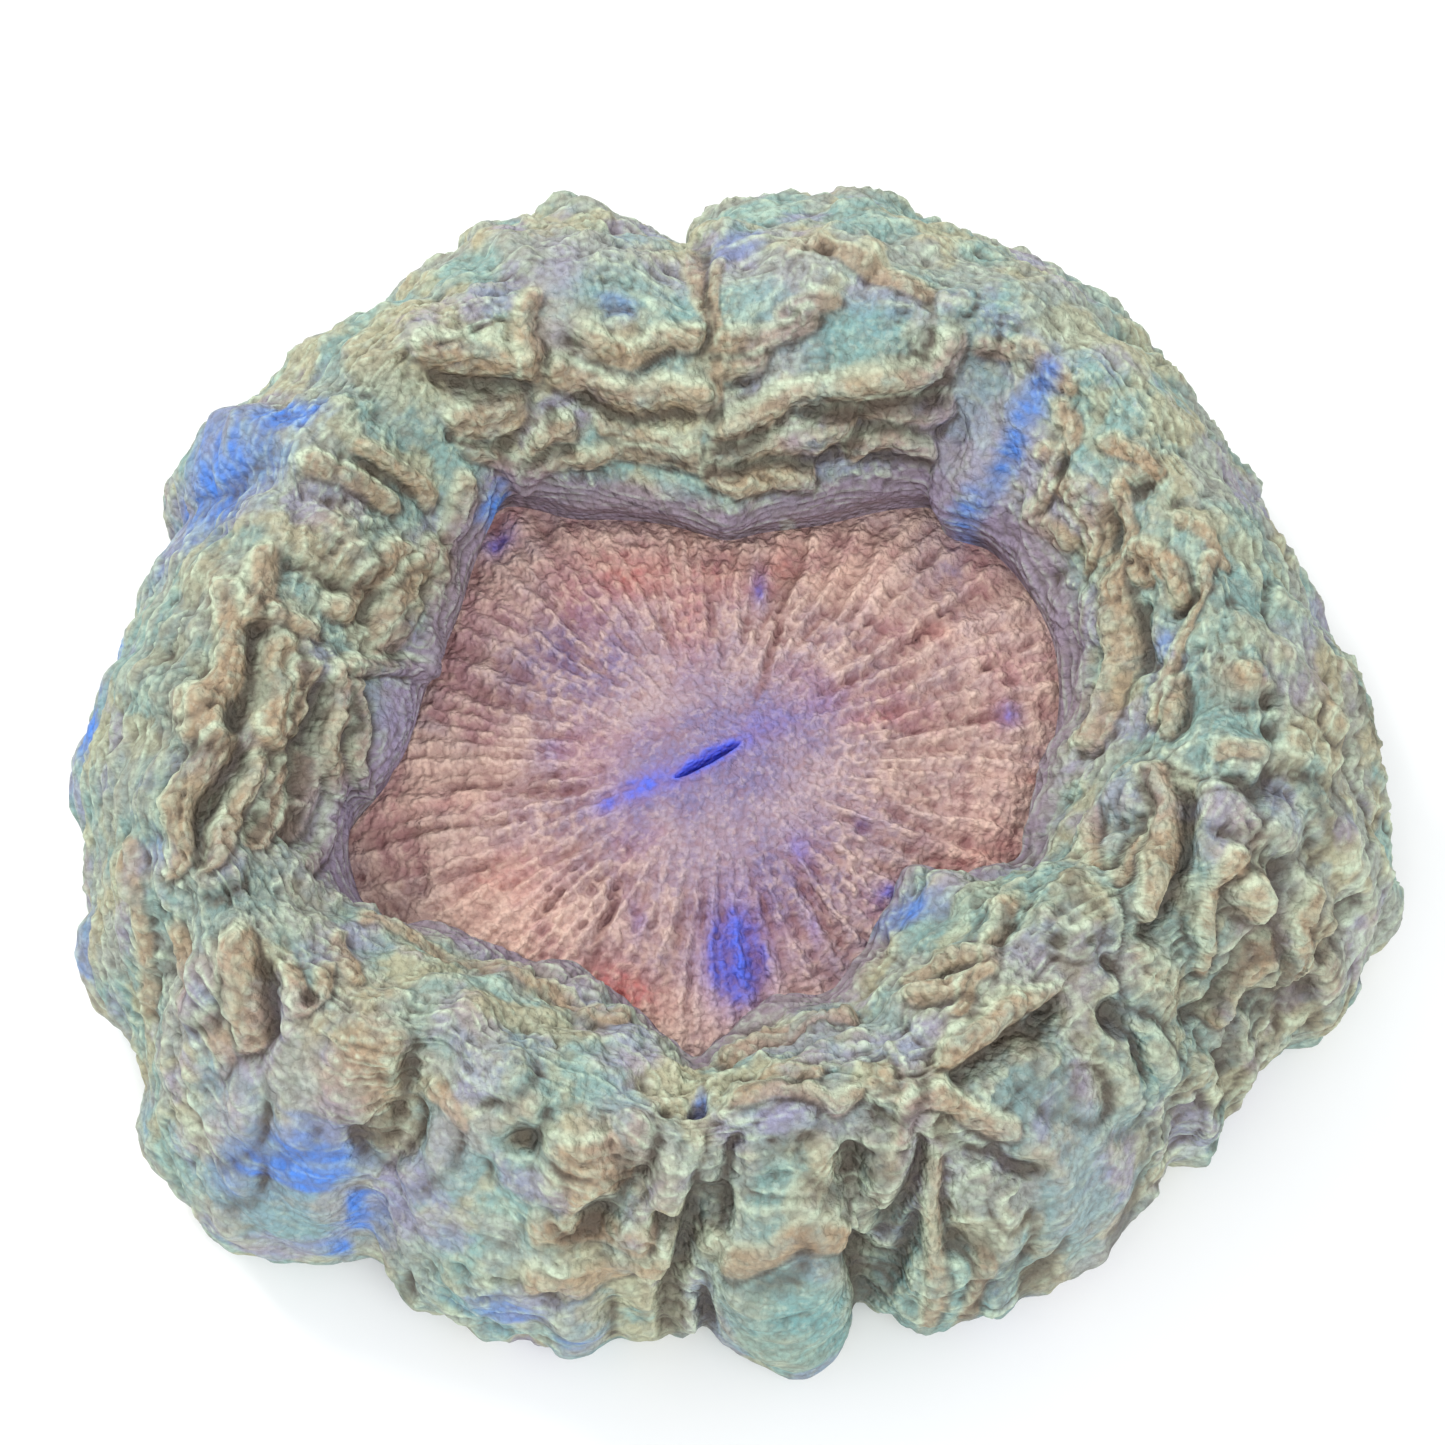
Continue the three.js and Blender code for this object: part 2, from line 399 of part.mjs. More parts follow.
// Disc with its rows of low radial ridges, dished between the mouth and the lip
function discPoint(angle, share) {
  const radius = share * (loop(DISC_EDGE, angle) + loop(TUCK, angle));
  const septum = SEPTUM_RISE * Math.cos(radians(SEPTA * angle)) * clamp((share - 0.2) / 0.3, 0, 1);
  return new THREE.Vector3(
    MOUTH_X + radius * Math.cos(radians(angle)),
    MOUTH_Y + radius * Math.sin(radians(angle)),
    DISC_EDGE_HEIGHT + curve(DISC, 1, share) + (share < 1 ? septum : 0),
  );
}

// Slit mouth: rounded long lips, then the floor of the slit
function slitPoint(angle, size, height) {
  const turn = radians(angle - SLIT_TURN);
  const long = SLIT_LENGTH * size * Math.cos(turn);
  const wide = SLIT_WIDTH * (0.35 + 0.65 * size) * size * Math.sin(turn);
  const c = Math.cos(radians(SLIT_TURN));
  const s = Math.sin(radians(SLIT_TURN));
  return new THREE.Vector3(MOUTH_X + long * c - wide * s, MOUTH_Y + long * s + wide * c, height);
}

// Surface built ring by ring
const vertices = [];
const triangles = [];

function ring(count, pointAt) {
  const start = vertices.length;
  for (let k = 0; k < count; k += 1) vertices.push(pointAt((360 * k) / count));
  return { start, count };
}

// Band between an inner and an outer ring, where the outer has as many points or twice as many
function band(inner, outer) {
  const ratio = outer.count / inner.count;
  for (let k = 0; k < inner.count; k += 1) {
    const a = inner.start + k;
    const b = inner.start + ((k + 1) % inner.count);
    const o = (j) => outer.start + ((ratio * k + j) % outer.count);
    triangles.push([a, o(0), o(1)]);
    if (ratio === 2) {
      triangles.push([a, o(1), b], [b, o(1), o(2)]);
    } else {
      triangles.push([a, o(1), b]);
    }
  }
}

const mouthHeight = DISC_EDGE_HEIGHT + DISC[0][1];
const rings = [
  ring(AROUND / 4, (a) => slitPoint(a, 0.7, mouthHeight - SLIT_DEPTH)),
  ring(AROUND / 4, (a) => slitPoint(a, 0.95, mouthHeight - 0.8)),
  ring(AROUND / 2, (a) => slitPoint(a, 1.25, mouthHeight + 0.5)),
  ring(AROUND / 2, (a) => slitPoint(a, 1.6, mouthHeight + 0.1).lerp(discPoint(a, 0.1), 0.5)),
  ...DISC_RINGS.map((share) => ring(AROUND, (a) => discPoint(a, share))),
  ...MANTLE_RINGS.map((share) => ring(AROUND, (a) => foldedPoint(a, share))),
];

// The widest ring curls in under itself to the cut
const widest = rings[rings.length - 1];
function curledPoint(angle, draw, height) {
  const rim = vertices[widest.start + Math.round((angle * AROUND) / 360)];
  return new THREE.Vector3(
    MOUTH_X + (rim.x - MOUTH_X) * draw,
    MOUTH_Y + (rim.y - MOUTH_Y) * draw,
    height,
  );
}
for (const [draw, height] of CURL) rings.push(ring(AROUND, (a) => curledPoint(a, draw, height)));
rings.push(ring(AROUND, (a) => curledPoint(a, BASE_DRAW_IN, 0)));

for (let i = 0; i + 1 < rings.length; i += 1) band(rings[i], rings[i + 1]);

// Floor of the slit and the flat cut
function cap(edge, height, facingUp) {
  const centre = vertices.push(new THREE.Vector3(MOUTH_X, MOUTH_Y, height)) - 1;
  for (let k = 0; k < edge.count; k += 1) {
    const a = edge.start + k;
    const b = edge.start + ((k + 1) % edge.count);
    triangles.push(facingUp ? [centre, a, b] : [centre, b, a]);
  }
}
cap(rings[0], mouthHeight - SLIT_DEPTH, true);
cap(rings[rings.length - 1], 0, false);

// Centre on the flat underside
const centre = new THREE.Box3().setFromPoints(vertices).getCenter(new THREE.Vector3());
for (const v of vertices) v.set(v.x - centre.x, v.y - centre.y, v.z);

const geometry = new THREE.BufferGeometry().setFromPoints(vertices);
geometry.setIndex(triangles.flat());
geometry.computeVertexNormals();

const flesh = new THREE.MeshStandardMaterial({ color: 0x98a48e, roughness: 0.75, flatShading: true });
const coral = new THREE.Mesh(geometry, flesh);
coral.name = "coral";

const group = new THREE.Group();
group.name = "acanthophyllia_coral";
group.add(coral);

export default group;
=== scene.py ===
"""Large solitary polyp coral: a sunken grainy disc with a slit mouth inside a swollen folded mantle.

Lengths in the tables are millimetres, in a plan seen from above with the mouth at MOUTH. The meshes are
in metres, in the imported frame.
"""

import math

import bpy
import numpy as np
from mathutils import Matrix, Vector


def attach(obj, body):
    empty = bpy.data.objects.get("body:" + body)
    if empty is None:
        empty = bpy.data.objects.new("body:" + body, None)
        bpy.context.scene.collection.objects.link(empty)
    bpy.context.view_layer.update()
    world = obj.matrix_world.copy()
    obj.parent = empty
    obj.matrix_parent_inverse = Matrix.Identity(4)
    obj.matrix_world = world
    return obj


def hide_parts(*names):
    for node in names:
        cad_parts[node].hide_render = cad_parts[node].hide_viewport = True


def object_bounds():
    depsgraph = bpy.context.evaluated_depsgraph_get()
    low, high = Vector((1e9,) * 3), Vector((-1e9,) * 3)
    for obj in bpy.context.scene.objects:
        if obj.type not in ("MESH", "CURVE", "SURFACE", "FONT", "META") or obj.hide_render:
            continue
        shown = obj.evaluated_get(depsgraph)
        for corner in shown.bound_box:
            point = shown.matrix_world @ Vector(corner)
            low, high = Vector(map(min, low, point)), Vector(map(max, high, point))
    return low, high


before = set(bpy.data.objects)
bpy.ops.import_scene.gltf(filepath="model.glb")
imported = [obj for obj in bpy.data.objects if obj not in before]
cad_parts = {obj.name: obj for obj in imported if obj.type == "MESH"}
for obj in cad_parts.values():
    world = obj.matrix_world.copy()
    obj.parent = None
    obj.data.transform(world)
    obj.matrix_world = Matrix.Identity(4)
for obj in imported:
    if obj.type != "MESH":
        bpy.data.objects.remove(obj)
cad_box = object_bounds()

# Where the flat cut's centre lies in the plan of the tables, and the mouth's place there
CUT_CENTRE = (-1.05, 8.488)
MOUTH = (-3.0, 1.0)
MM = 0.001

# Numbers of points round the mouth and rings across each piece, and shares of the way where they part
DISC_AROUND = 660
DISC_RINGS = 136
SLIT_RINGS = 13
SLIT_SHARE = 0.06
MANTLE_AROUND = 960
FOLD_RINGS = 103
FLANK_RINGS = 96
FOLD_SHARE = 0.57
WALL_SHARES = (0.0, 0.3, 0.6, 0.85)

# Main sizes, in millimetres and shares of the way from the lip or the mouth
DISC_EDGE_HEIGHT = 23.0
MANTLE_HEIGHT = 45.5
LIP_BLEND = 0.25
FOLD_STRENGTH = 1.05
FOLD_LEAN = 0.42
LEE_SIDE = (0.6, -0.8)
RIM_SHARE = 0.82
RIM_STRENGTH = 0.3
SLIT_TURN = math.radians(30)
SLIT_CENTRE = (-3.8, 0.3)
SLIT_HALF_LENGTH = 4.7
SLIT_HALF_WIDTH = 0.75
SLIT_DEPTH = 3.2
SLIT_EDGE_SHARE = 0.03
SEPTAL_ROWS = 96
MANTLE_PATH = 75
LAP_RADIUS = 60
LIP_LINES_FADE = (2.2, 4.2)
LIP_TINT_FADE = (3.2, 6)
LIP_LINE_GAP = 1.15
BUBBLE = (5.6, -66)
BUBBLE_FADE = (5, 9)
BUBBLE_RIPPLE = 2.3
CURL_MASK_SHARE = 0.4
MOUTH_SWELL = [[-3.4, 1, 13, 4.5, 28, 1.0]]

# Camera at the photograph's angle, in millimetres like the plan; then lights and floor, in metres
CAMERA_ELEVATION = math.radians(66)
CAMERA_DISTANCE = 415
CAMERA_TARGET = (-2, 8, 20)
CAMERA_LENS = 85
CAMERA_SENSOR = 36
LIGHT_AIM = (0, 0, 0.02)
FLOOR_REACH = 3.0
FLOOR_DROP = 0.0002

# Widest outline, degrees from +X and radius from the mouth
OUTLINE = [
    [0, 82], [5, 82.5], [10, 81], [15, 79.8], [25, 79.2], [35, 79.4], [40, 81.2],
    [45, 83], [50, 84.2], [60, 84], [65, 84.8], [70, 84.4], [75, 87], [80, 86],
    [85, 84.6], [90, 82.3], [93, 77.3], [96, 79], [100, 83.2], [103, 86], [105, 85.2],
    [110, 83.8], [112, 85], [115, 82.2], [120, 81.2], [125, 77.4], [130, 79.2], [135, 80.2],
    [140, 80], [145, 81.8], [150, 81], [153.6, 76], [156, 77.2], [160, 77.4],
    [165, 77], [170, 77.2], [174, 78.6], [180, 79], [190, 77], [195, 78.7], [200, 78.4],
    [205, 75.3], [210, 77.6], [215, 79.7], [220, 79.4], [225, 78.8], [230, 75.7], [235, 69],
    [240, 72], [245, 71.4], [250, 70.4], [255, 69], [260, 67.4], [265, 67.2], [270, 66.6],
    [275, 69], [280, 69], [285, 64.8], [290, 68], [295, 70.6], [300, 71.6], [305, 71.5],
    [315, 71.5], [320, 71.8], [323, 74.3], [327, 73], [330, 73], [335, 75.5], [340, 80],
    [345, 81.5], [350, 84.6], [355, 83.2],
]

# Edge of the disc under the lip, degrees and radius
DISC_EDGE = [
    [0, 40], [10, 42], [20, 43.5], [30, 44], [40, 43.5], [47, 41], [52, 42.5], [55, 41],
    [67, 33.5], [80, 29.5], [88, 28], [102, 31], [110, 33], [118, 35.5], [126, 41],
    [130, 41], [139, 38], [152, 35], [168, 35], [183, 37], [193, 43.5], [200, 45],
    [208, 44.5], [220, 37], [237, 33], [255, 33], [262, 36], [268, 38], [276, 33.5],
    [295, 33.5], [303, 31], [323, 27.5], [330, 32], [339, 38], [351, 38],
]

# Degrees, then how far the disc runs on under the lip, or how far the lip or the crest stands over its mean
TUCK = [
    [0, 0.7], [30, 0.9], [60, 1.6], [90, 2.4], [120, 2.2], [150, 2.4], [185, 2],
    [215, 0.8], [270, 0.7], [330, 0.7],
]

LIP_RISE = [
    [0, -1.6], [45, -0.6], [75, 0.8], [110, 1.2], [160, 1.2], [190, 0.4], [230, -1.4],
    [268, -1.8], [300, -1.6],
]

CREST_RISE = [
    [0, -1], [40, 0], [70, 1.4], [93, -0.6], [115, 1], [150, 0.4], [180, 1.4], [215, -0.6],
    [240, -1], [268, -3], [290, -1], [325, -2.4], [345, -0.6],
]

# Mantle from lip to widest ring: path share, share of the way out, height
MANTLE = [
    [0, 0, 28], [0.06, 0.015, 31], [0.15, 0.11, 35.5], [0.25, 0.23, 41], [0.38, 0.39, 45.5],
    [0.5, 0.53, 45.5], [0.65, 0.71, 38.5], [0.8, 0.87, 27.5], [0.92, 0.965, 17], [1, 1, 10],
]

# Disc from mouth to edge: path share, height over the edge
DISC = [
    [0, 3.4], [0.12, 3.1], [0.3, 1.9], [0.55, 0.6], [0.8, 0.5], [0.93, 0.7], [1, 0],
]

# Folds: half width, height, then plan points
RIDGES = [
    # Rear
    [2.3, 3.2, [25.2, 46], [23.6, 43.8], [19, 43.3], [12, 42.2], [6, 41.8], [2.5, 40], [-2, 38.4]],
    [1.6, 2.2, [15.5, 40.6], [20, 40.8], [25, 41.2]],
    [1.6, 2.2, [13.5, 37.2], [18, 38], [22.6, 37.8]],
    [1.8, 2.4, [13, 39.8], [9.5, 37.8], [6, 36.9], [2, 36.6], [-2.5, 35.5]],
    [1.5, 1.6, [-3, 33.9], [0, 33.5], [4, 34], [8, 34.2]],
    [2.2, 2.6, [-21.5, 43.9], [-17, 42.6], [-12, 42.2], [-7, 41.8], [-4, 41.4]],
    [2, 2, [-18, 46.9], [-13, 46.2], [-9, 47.2], [-5.5, 47.6]],
    [1.8, 2.2, [-25, 51], [-25.8, 48.5], [-24.8, 46], [-25, 43.6]],
    [2.6, 3, [-36.5, 45], [-33.5, 44.6], [-30.5, 44.7], [-26.5, 44.3]],
    [2.4, 2.6, [-34, 38.4], [-31.5, 40], [-27.5, 40.2]],
    [1.5, 2, [-24.5, 37.3], [-22.6, 38.2], [-20.8, 38.6]],
    [1.4, 1.6, [-33, 36], [-29.5, 36.8], [-27, 35.8]],
    [1.4, 1.8, [-25.5, 35.2], [-21, 35.8], [-17, 36.7], [-12, 36.5], [-8, 35.8], [-4, 34.9]],
    [1.4, 1.6, [-16.5, 39.4], [-11.5, 38.5], [-8.5, 37], [-5.5, 36.2]],
    [1.8, 1.8, [-1.8, 47.7], [4, 48.4], [8.5, 49.3]],
    [1.6, 1.6, [-2.2, 44.8], [2, 45.6]],
    [1.6, 1.4, [5, 50.8], [11, 51]],
    [1.5, 1.3, [9, 59], [14, 56.6], [19, 54.2], [22.5, 52.2]],
    [1.2, 1, [-5.8, 60], [-5.4, 55], [-4.4, 50]],
    [1.2, 1, [-2.6, 58], [-3.4, 52], [-2.6, 46], [-2.8, 42]],
    # Left
    [2.6, 3, [-57.8, 11], [-58, 6], [-58.6, 2], [-60.2, -1.5], [-60.5, -5]],
    [2.2, 2.8, [-53.2, 5.5], [-53, 1.5], [-54, -2], [-53.6, -5]],
    [1.6, 2.2, [-51, 4.5], [-50.8, 0], [-51.4, -3.5]],
    [1.7, 2.6, [-47.3, 5.5], [-47.1, 0], [-47.5, -4], [-46.6, -7]],
    [1.4, 2.4, [-45, 6], [-44.8, 1], [-44.6, -3], [-44, -6]],
    [1.6, 2, [-46, 6.2], [-43, 8], [-40, 9.6], [-36.8, 9.6]],
    [1.8, 2.2, [-40, 21.8], [-44, 17.5], [-46.6, 12.5]],
    [1.8, 2, [-36, 24.5], [-38.5, 20.5], [-41, 16.5], [-42.5, 11.5]],
    [1.3, 1.5, [-38.5, 16], [-40.5, 12.5], [-43, 9.5]],
    [1.6, 1.6, [-35.4, 21], [-34.6, 25], [-33.6, 29], [-33.4, 32.5]],
    [1.6, 1.8, [-53.5, 9.3], [-49.5, 9.3]],
    [1.8, 2, [-50, 29], [-46, 28], [-41.5, 27.5]],
    [1.4, 1.6, [-44.5, 32], [-40, 31.4], [-37, 29.5]],
    [1.6, 2.2, [-55, -8.6], [-57, -13], [-58.2, -17], [-58.6, -21]],
    [2, 2.2, [-58.6, -7], [-61, -10.5], [-62.6, -15], [-63, -20]],
    [1.6, 2, [-52.4, -8], [-53.5, -13], [-55, -17.5]],
    [1.6, 2, [-49.6, -6], [-50.2, -10], [-51.8, -14]],
    [1.5, 1.6, [-46.8, -9], [-48, -14], [-49.5, -18.5]],
    [2.2, 2, [-54.5, 17], [-55.4, 12.5], [-55, 9]],
    # Lower left
    [2.2, 3, [-55, -30.5], [-54.6, -35], [-54, -39.6]],
    [1.6, 2, [-58.2, -36.5], [-57.4, -41]],
    [1.3, 1.6, [-49.8, -33.5], [-48.6, -37.8], [-46.4, -36], [-45.6, -32]],
    [1.2, 1.4, [-45.2, -28], [-42.6, -33]],
    [1.2, 1.2, [-63.4, -26], [-62.2, -30], [-61.6, -34.5]],
    [1.2, 1.2, [-69, -16], [-68.2, -24], [-68, -30]],
    [1.2, 1.2, [-33, -45.5], [-30.4, -49.6]],
    [1.2, 1.2, [-43, -25], [-36, -27], [-28, -29.6], [-20, -32.4], [-13, -36]],
    # Bottom
    [1.8, 2, [-19.8, -51.4], [-15.5, -52], [-13.4, -54.2]],
    [1.3, 1.2, [-22.5, -58.4], [-14, -58.8], [-10.5, -59.2]],
    [1.4, 1.4, [-23.5, -61.6], [-18.5, -62], [-13, -61.8], [-8.6, -61.4]],
    [1.3, 1.8, [0.5, -47], [5, -47.4], [8, -47.4], [10, -48.6], [12, -47.4]],
    [1.3, 1.6, [1.5, -45.6], [5, -45.4], [8.6, -45]],
    [1.4, 1.6, [-2, -40], [2.5, -37.4], [8, -36.4], [12.5, -36]],
    [1.5, 1.8, [17.2, -50.6], [18, -48], [21, -47.4], [24, -48.2], [29, -48.6]],
    [1.6, 1.8, [21.6, -53.5], [21.6, -56.5], [22.2, -60], [22.6, -63]],
    [1.3, 1.3, [27.2, -59], [26.6, -63]],
    [1.5, 1.7, [-0.6, -60.2], [3.4, -60.6], [6, -59], [9.6, -58]],
    # Lower right
    [2, 2.8, [29.6, -37], [27, -39.4], [24.5, -41.4], [22.4, -43.6]],
    [1.7, 2.2, [29.5, -36.2], [34.8, -34.8]],
    [1.4, 1.8, [19.5, -32], [23.5, -31], [27, -30]],
    [1.4, 1.8, [20, -35.4], [24, -34.2]],
    [1.5, 1.8, [23.6, -37.6], [24.6, -35], [26.8, -32.6], [27.6, -28.6], [29.8, -24]],
    [1.6, 2, [40.8, -12], [39.6, -18.4]],
    [1.7, 2.2, [45.2, -16.6], [42.2, -21.4]],
    [1.5, 1.8, [56, -19], [53.2, -22.4], [52.2, -25], [52, -28.6]],
    [2, 2.2, [59.8, -26.5], [56.6, -29], [54.4, -32.6]],
    [1.8, 1.8, [65.5, -20], [64, -25], [62.8, -27.5]],
    # Right
    [2.2, 3, [44.4, 18.2], [45, 14.5], [45.6, 9.5], [45, 6.5], [43.5, 4], [42.5, 1.5], [41.2, -1]],
    [1.4, 2, [54.8, 17], [53.3, 12], [51.5, 8], [49, 5], [48.2, 1.5], [47.4, -1]],
    [1.7, 2.2, [49.8, 3.4], [49.6, 0], [49.2, -2.6]],
    [1.9, 2.4, [46.6, 20.4], [49.4, 18.8], [50.8, 16.5], [51.2, 13.6]],
    [2.6, 3.2, [47.6, -9], [47.8, -12.5], [47.2, -17.5], [46.5, -21], [45.4, -24.6]],
    [1.6, 1.6, [55, -7.4], [58.4, -7.4]],
    [1.3, 1.4, [43.6, 20.8], [46.5, 19], [47.8, 16.5]],
    [1.6, 1.8, [41.5, 27], [43, 25], [42.4, 22.4]],
    [1.4, 1.4, [29, 46.3], [33, 45.8], [36.7, 43.2], [40, 40.5]],
    [1.3, 1.2, [38.5, 38.8], [39.3, 36], [40, 33.4]],
    [1.4, 1.6, [36.3, 34.5], [38, 33.6], [37.3, 31.2], [36.3, 29.8]],
    [1.5, 1.8, [38.6, 30.6], [41.5, 28.8], [43.4, 26]],
    [1.5, 1.8, [40.4, 28.6], [41.6, 25.5], [41.4, 21.5]],
    [1.4, 1.6, [35, 29.3], [37.5, 27], [39.3, 24.6]],
    [1.4, 1.5, [44.6, 28], [45, 24], [46.2, 20.8]],
    [1.4, 1.4, [51, 22.3], [54.6, 20], [56.6, 17]],
    [1.6, 1.6, [43.5, 33.5], [47, 31.5], [49.6, 28.6]],
]

# Crevices: half width, depth, then plan points
CREVICES = [
    [1.4, 3, [24.6, 43.8], [21.6, 41.4], [16, 40.8], [8.6, 40.2]],
    [1.4, 2.6, [2.6, 38.4], [-2.2, 36.9]],
    [1.2, 2.4, [14.7, 39.2], [12.7, 37.2], [9.5, 35.6], [3, 35.2], [-3.5, 34.4]],
    [1.1, 2, [15, 36.1], [22.4, 36.2]],
    [1, 1.8, [15.4, 39.2], [24.8, 39.2]],
    [1.3, 2, [-19, 41.6], [-15.5, 40.6], [-10, 40.4], [-6, 39.8]],
    [1.6, 2.8, [-36.5, 42], [-31.5, 42.2], [-26, 42]],
    [1.1, 1.6, [-25, 36.2], [-20.8, 36.7]],
    [1.1, 1.4, [-11.4, 45.2], [-8.2, 45.8]],
    [1, 1.5, [-9.5, 36.2], [-6.4, 35]],
    [1.8, 1.3, [-4.6, 64], [-4.4, 58], [-4, 52], [-3.6, 46], [-3.6, 40], [-3.6, 35]],
    [1.5, 3, [-55.4, 7.4], [-55.4, 1], [-56.6, -2], [-57.8, -5]],
    [1.5, 3.2, [-48.8, 3], [-49.2, -2], [-50.4, -6], [-51, -8.6]],
    [0.9, 1.8, [-46, 3.2], [-46, -2.8]],
    [1.1, 2.4, [-43.4, 4], [-43.2, 0], [-43.8, -3]],
    [1.1, 2.2, [-43.6, 16], [-44, 12.6]],
    [1.6, 3.2, [-57, -8], [-58.6, -10.8], [-60, -13.6], [-60.4, -17], [-60, -20.5]],
    [1.2, 2.2, [-54.6, -13.6], [-55.6, -17.4]],
    [1.2, 2.2, [-50.6, -11], [-51.6, -14.6]],
    [1.2, 1.8, [-44, 30], [-39, 29.4]],
    [1.5, 2.8, [-52.5, -33.4], [-52.1, -39.4]],
    [1.2, 2.4, [0.3, -51], [-0.8, -52.2], [-1.2, -54.4], [-2, -56.4]],
    [1.9, 4, [-2.4, -56.8], [-5, -57], [-5.8, -58.6], [-6.2, -62], [-7.2, -64], [-8.4, -66]],
    [1.2, 2.6, [-9.2, -58.3], [-6, -58.3]],
    [1.5, 3, [-3.6, -64.6], [-4.6, -67]],
    [1.1, 1.4, [3, -51.8], [7.6, -51.8]],
    [1.1, 1.6, [12, -52], [15, -51.7]],
    [1.6, 3, [20, -52.4], [19.4, -53.6], [18, -55], [17.4, -56.6], [15.8, -57.2]],
    [1.5, 2.8, [19.4, -57.6], [17.8, -59], [17.4, -60.2], [15, -60.4]],
    [1.9, 3.6, [13.4, -59.4], [13.8, -60.6], [14.4, -63], [13.8, -66]],
    [1.7, 3.2, [35.3, -36.2], [32.5, -38.4], [30.4, -39.2], [28.4, -41], [27, -42.6], [23.6, -45.4]],
    [1, 1.4, [20, -33.2], [23.2, -32.2]],
    [1, 1.4, [20.4, -36.6], [24, -35.6]],
    [1.1, 1.8, [30, -24.6], [28, -28.2]],
    [1, 1.4, [43.4, -36.6], [43.8, -40.4]],
    [1.6, 3, [61, -25.4], [57, -27.4], [54.6, -29.6], [53, -32.4], [51.4, -33.6]],
    [1.5, 2.6, [62.4, -26.6], [61.4, -29.6], [57.8, -31.2]],
    [1.4, 2.4, [57.4, -32.4], [56.4, -35], [55.2, -37.6]],
    [1.3, 2.2, [67.6, -27.4], [64.4, -28.4], [62.8, -29.8]],
    [1.3, 2.4, [70, -19.6], [68.8, -22.4], [67.4, -24.8]],
    [1.4, 2, [37, -55.6], [36.4, -58.4], [33.4, -60.4]],
    [1.2, 2, [47.8, -46], [46, -49.6], [43, -53.8]],
    [1.2, 1.8, [22, -51.3], [28.6, -51.3], [31, -52], [32.4, -51.4]],
    [1.2, 1.8, [24.4, -58.8], [27.6, -58.2]],
    [1.2, 1.8, [29.4, -58.8], [32.6, -57.6]],
    [1.5, 3.2, [50.2, -12], [50, -16], [49.4, -20.4], [48.2, -24.6], [45.4, -27]],
    [1.2, 2.2, [44.8, -15.6], [43, -17.6], [41.4, -19.4]],
    [1.2, 2, [46.6, -9.4], [46.2, -12.6]],
    [1.9, 3, [61.8, -19.4], [61.6, -22], [60, -25]],
    [1.2, 2, [55.4, -10.3], [58, -10.5], [60, -8.4]],
    [1.2, 2, [47.2, 13.4], [47.4, 10.6], [47.3, 6]],
    [1.1, 1.6, [50.8, 3], [50.8, -2.6]],
    [1.2, 1.8, [50.6, 12], [53, 13.6]],
    [1.2, 1.6, [43.4, 26], [43.9, 22.4]],
    [1.1, 1.4, [61.6, 17], [61.8, 10.4]],
    [1.3, 2, [73, -17.4], [70.6, -20.4]],
]

# Lumps and blisters: plan point, radius, height
LUMPS = [
    [-60.6, -4.6, 3.4, 2], [-62.4, -1.4, 2.8, 1.6], [-53.8, -4.6, 3, 1.8], [-47.2, 19.6, 4, 2.4],
    [-51, 19.2, 2.6, 1.6], [-48, 28, 3, 1.4], [-58, -21.6, 3.2, 1.6], [-65, -13, 3, 1.2],
    [-59.6, -33.4, 3.4, 2], [-41, -43, 5, 2.4], [-38.2, -41.4, 2.6, 1.8], [-38.6, -46.2, 3.4, 1.8],
    [-25, -45, 2.8, 1.8], [-23.8, -48.6, 3, 2], [-56.6, -45.4, 4, 1.8], [-56.4, -49.6, 3, 1.6],
    [-50, -47.5, 3, 1], [-34.5, -51, 3.6, 1.2], [-17.8, -53.8, 5, 3], [-12.4, -51.4, 3.2, 2.2],
    [-8, -55.2, 3, 1.8], [-18.7, -65.6, 3.6, 2.4], [5, -49.8, 3, 1.2], [15.8, -46.4, 3.4, 2.2],
    [9, -53, 2.6, 1.6], [3.4, -59.4, 3.4, 2], [5.6, -64, 9, 2.6], [16, -52.8, 3.6, 2.2],
    [9.6, -57, 3, 1.4], [18, -42, 2.8, 1.4], [33, -43, 3.2, 1.6], [36.8, -42.8, 3, 2],
    [41, -43.2, 3, 1.6], [38, -50, 9, 2.2], [31, -50.6, 2.2, 1.6], [28.4, -56, 4.6, 1.8],
    [23.6, -62, 3.2, 1.8], [58.8, -34.4, 2.8, 1.8], [54, -38.8, 2.6, 1.6], [57.4, -22, 2.6, 2],
    [44, -11.4, 3, 1.6], [57, -8, 3.6, 2], [54.4, -13.4, 3.6, 1.8], [56.8, -15.4, 2.4, 1.8],
    [61, -14.4, 3.8, 1.8], [57.6, 2, 3.2, 1.6], [45.4, 18, 2.6, 1.4], [47, 30.4, 3, 1.4],
    [25.7, 51, 2.6, 1.8], [28.3, 47.8, 2.6, 1.6], [20, 48, 3, 1.4], [34, 51.4, 3.4, 1],
    [17.5, 51.4, 2.4, 1.2], [-21.3, 48, 2.4, 1], [-38.4, 46, 2.8, 1.2], [-29, 58, 4, 1],
    [-62, 36, 7, 2.4], [-72, 8, 6, 1.6], [-70, -8, 6, 1.4], [47, -40, 4, 1.2],
    [46.4, -31, 4, 1], [36, -27.6, 3.4, 1.2], [66, -4, 4, 1], [68, 2, 4, 1],
]

BROAD_LUMP = 5.5

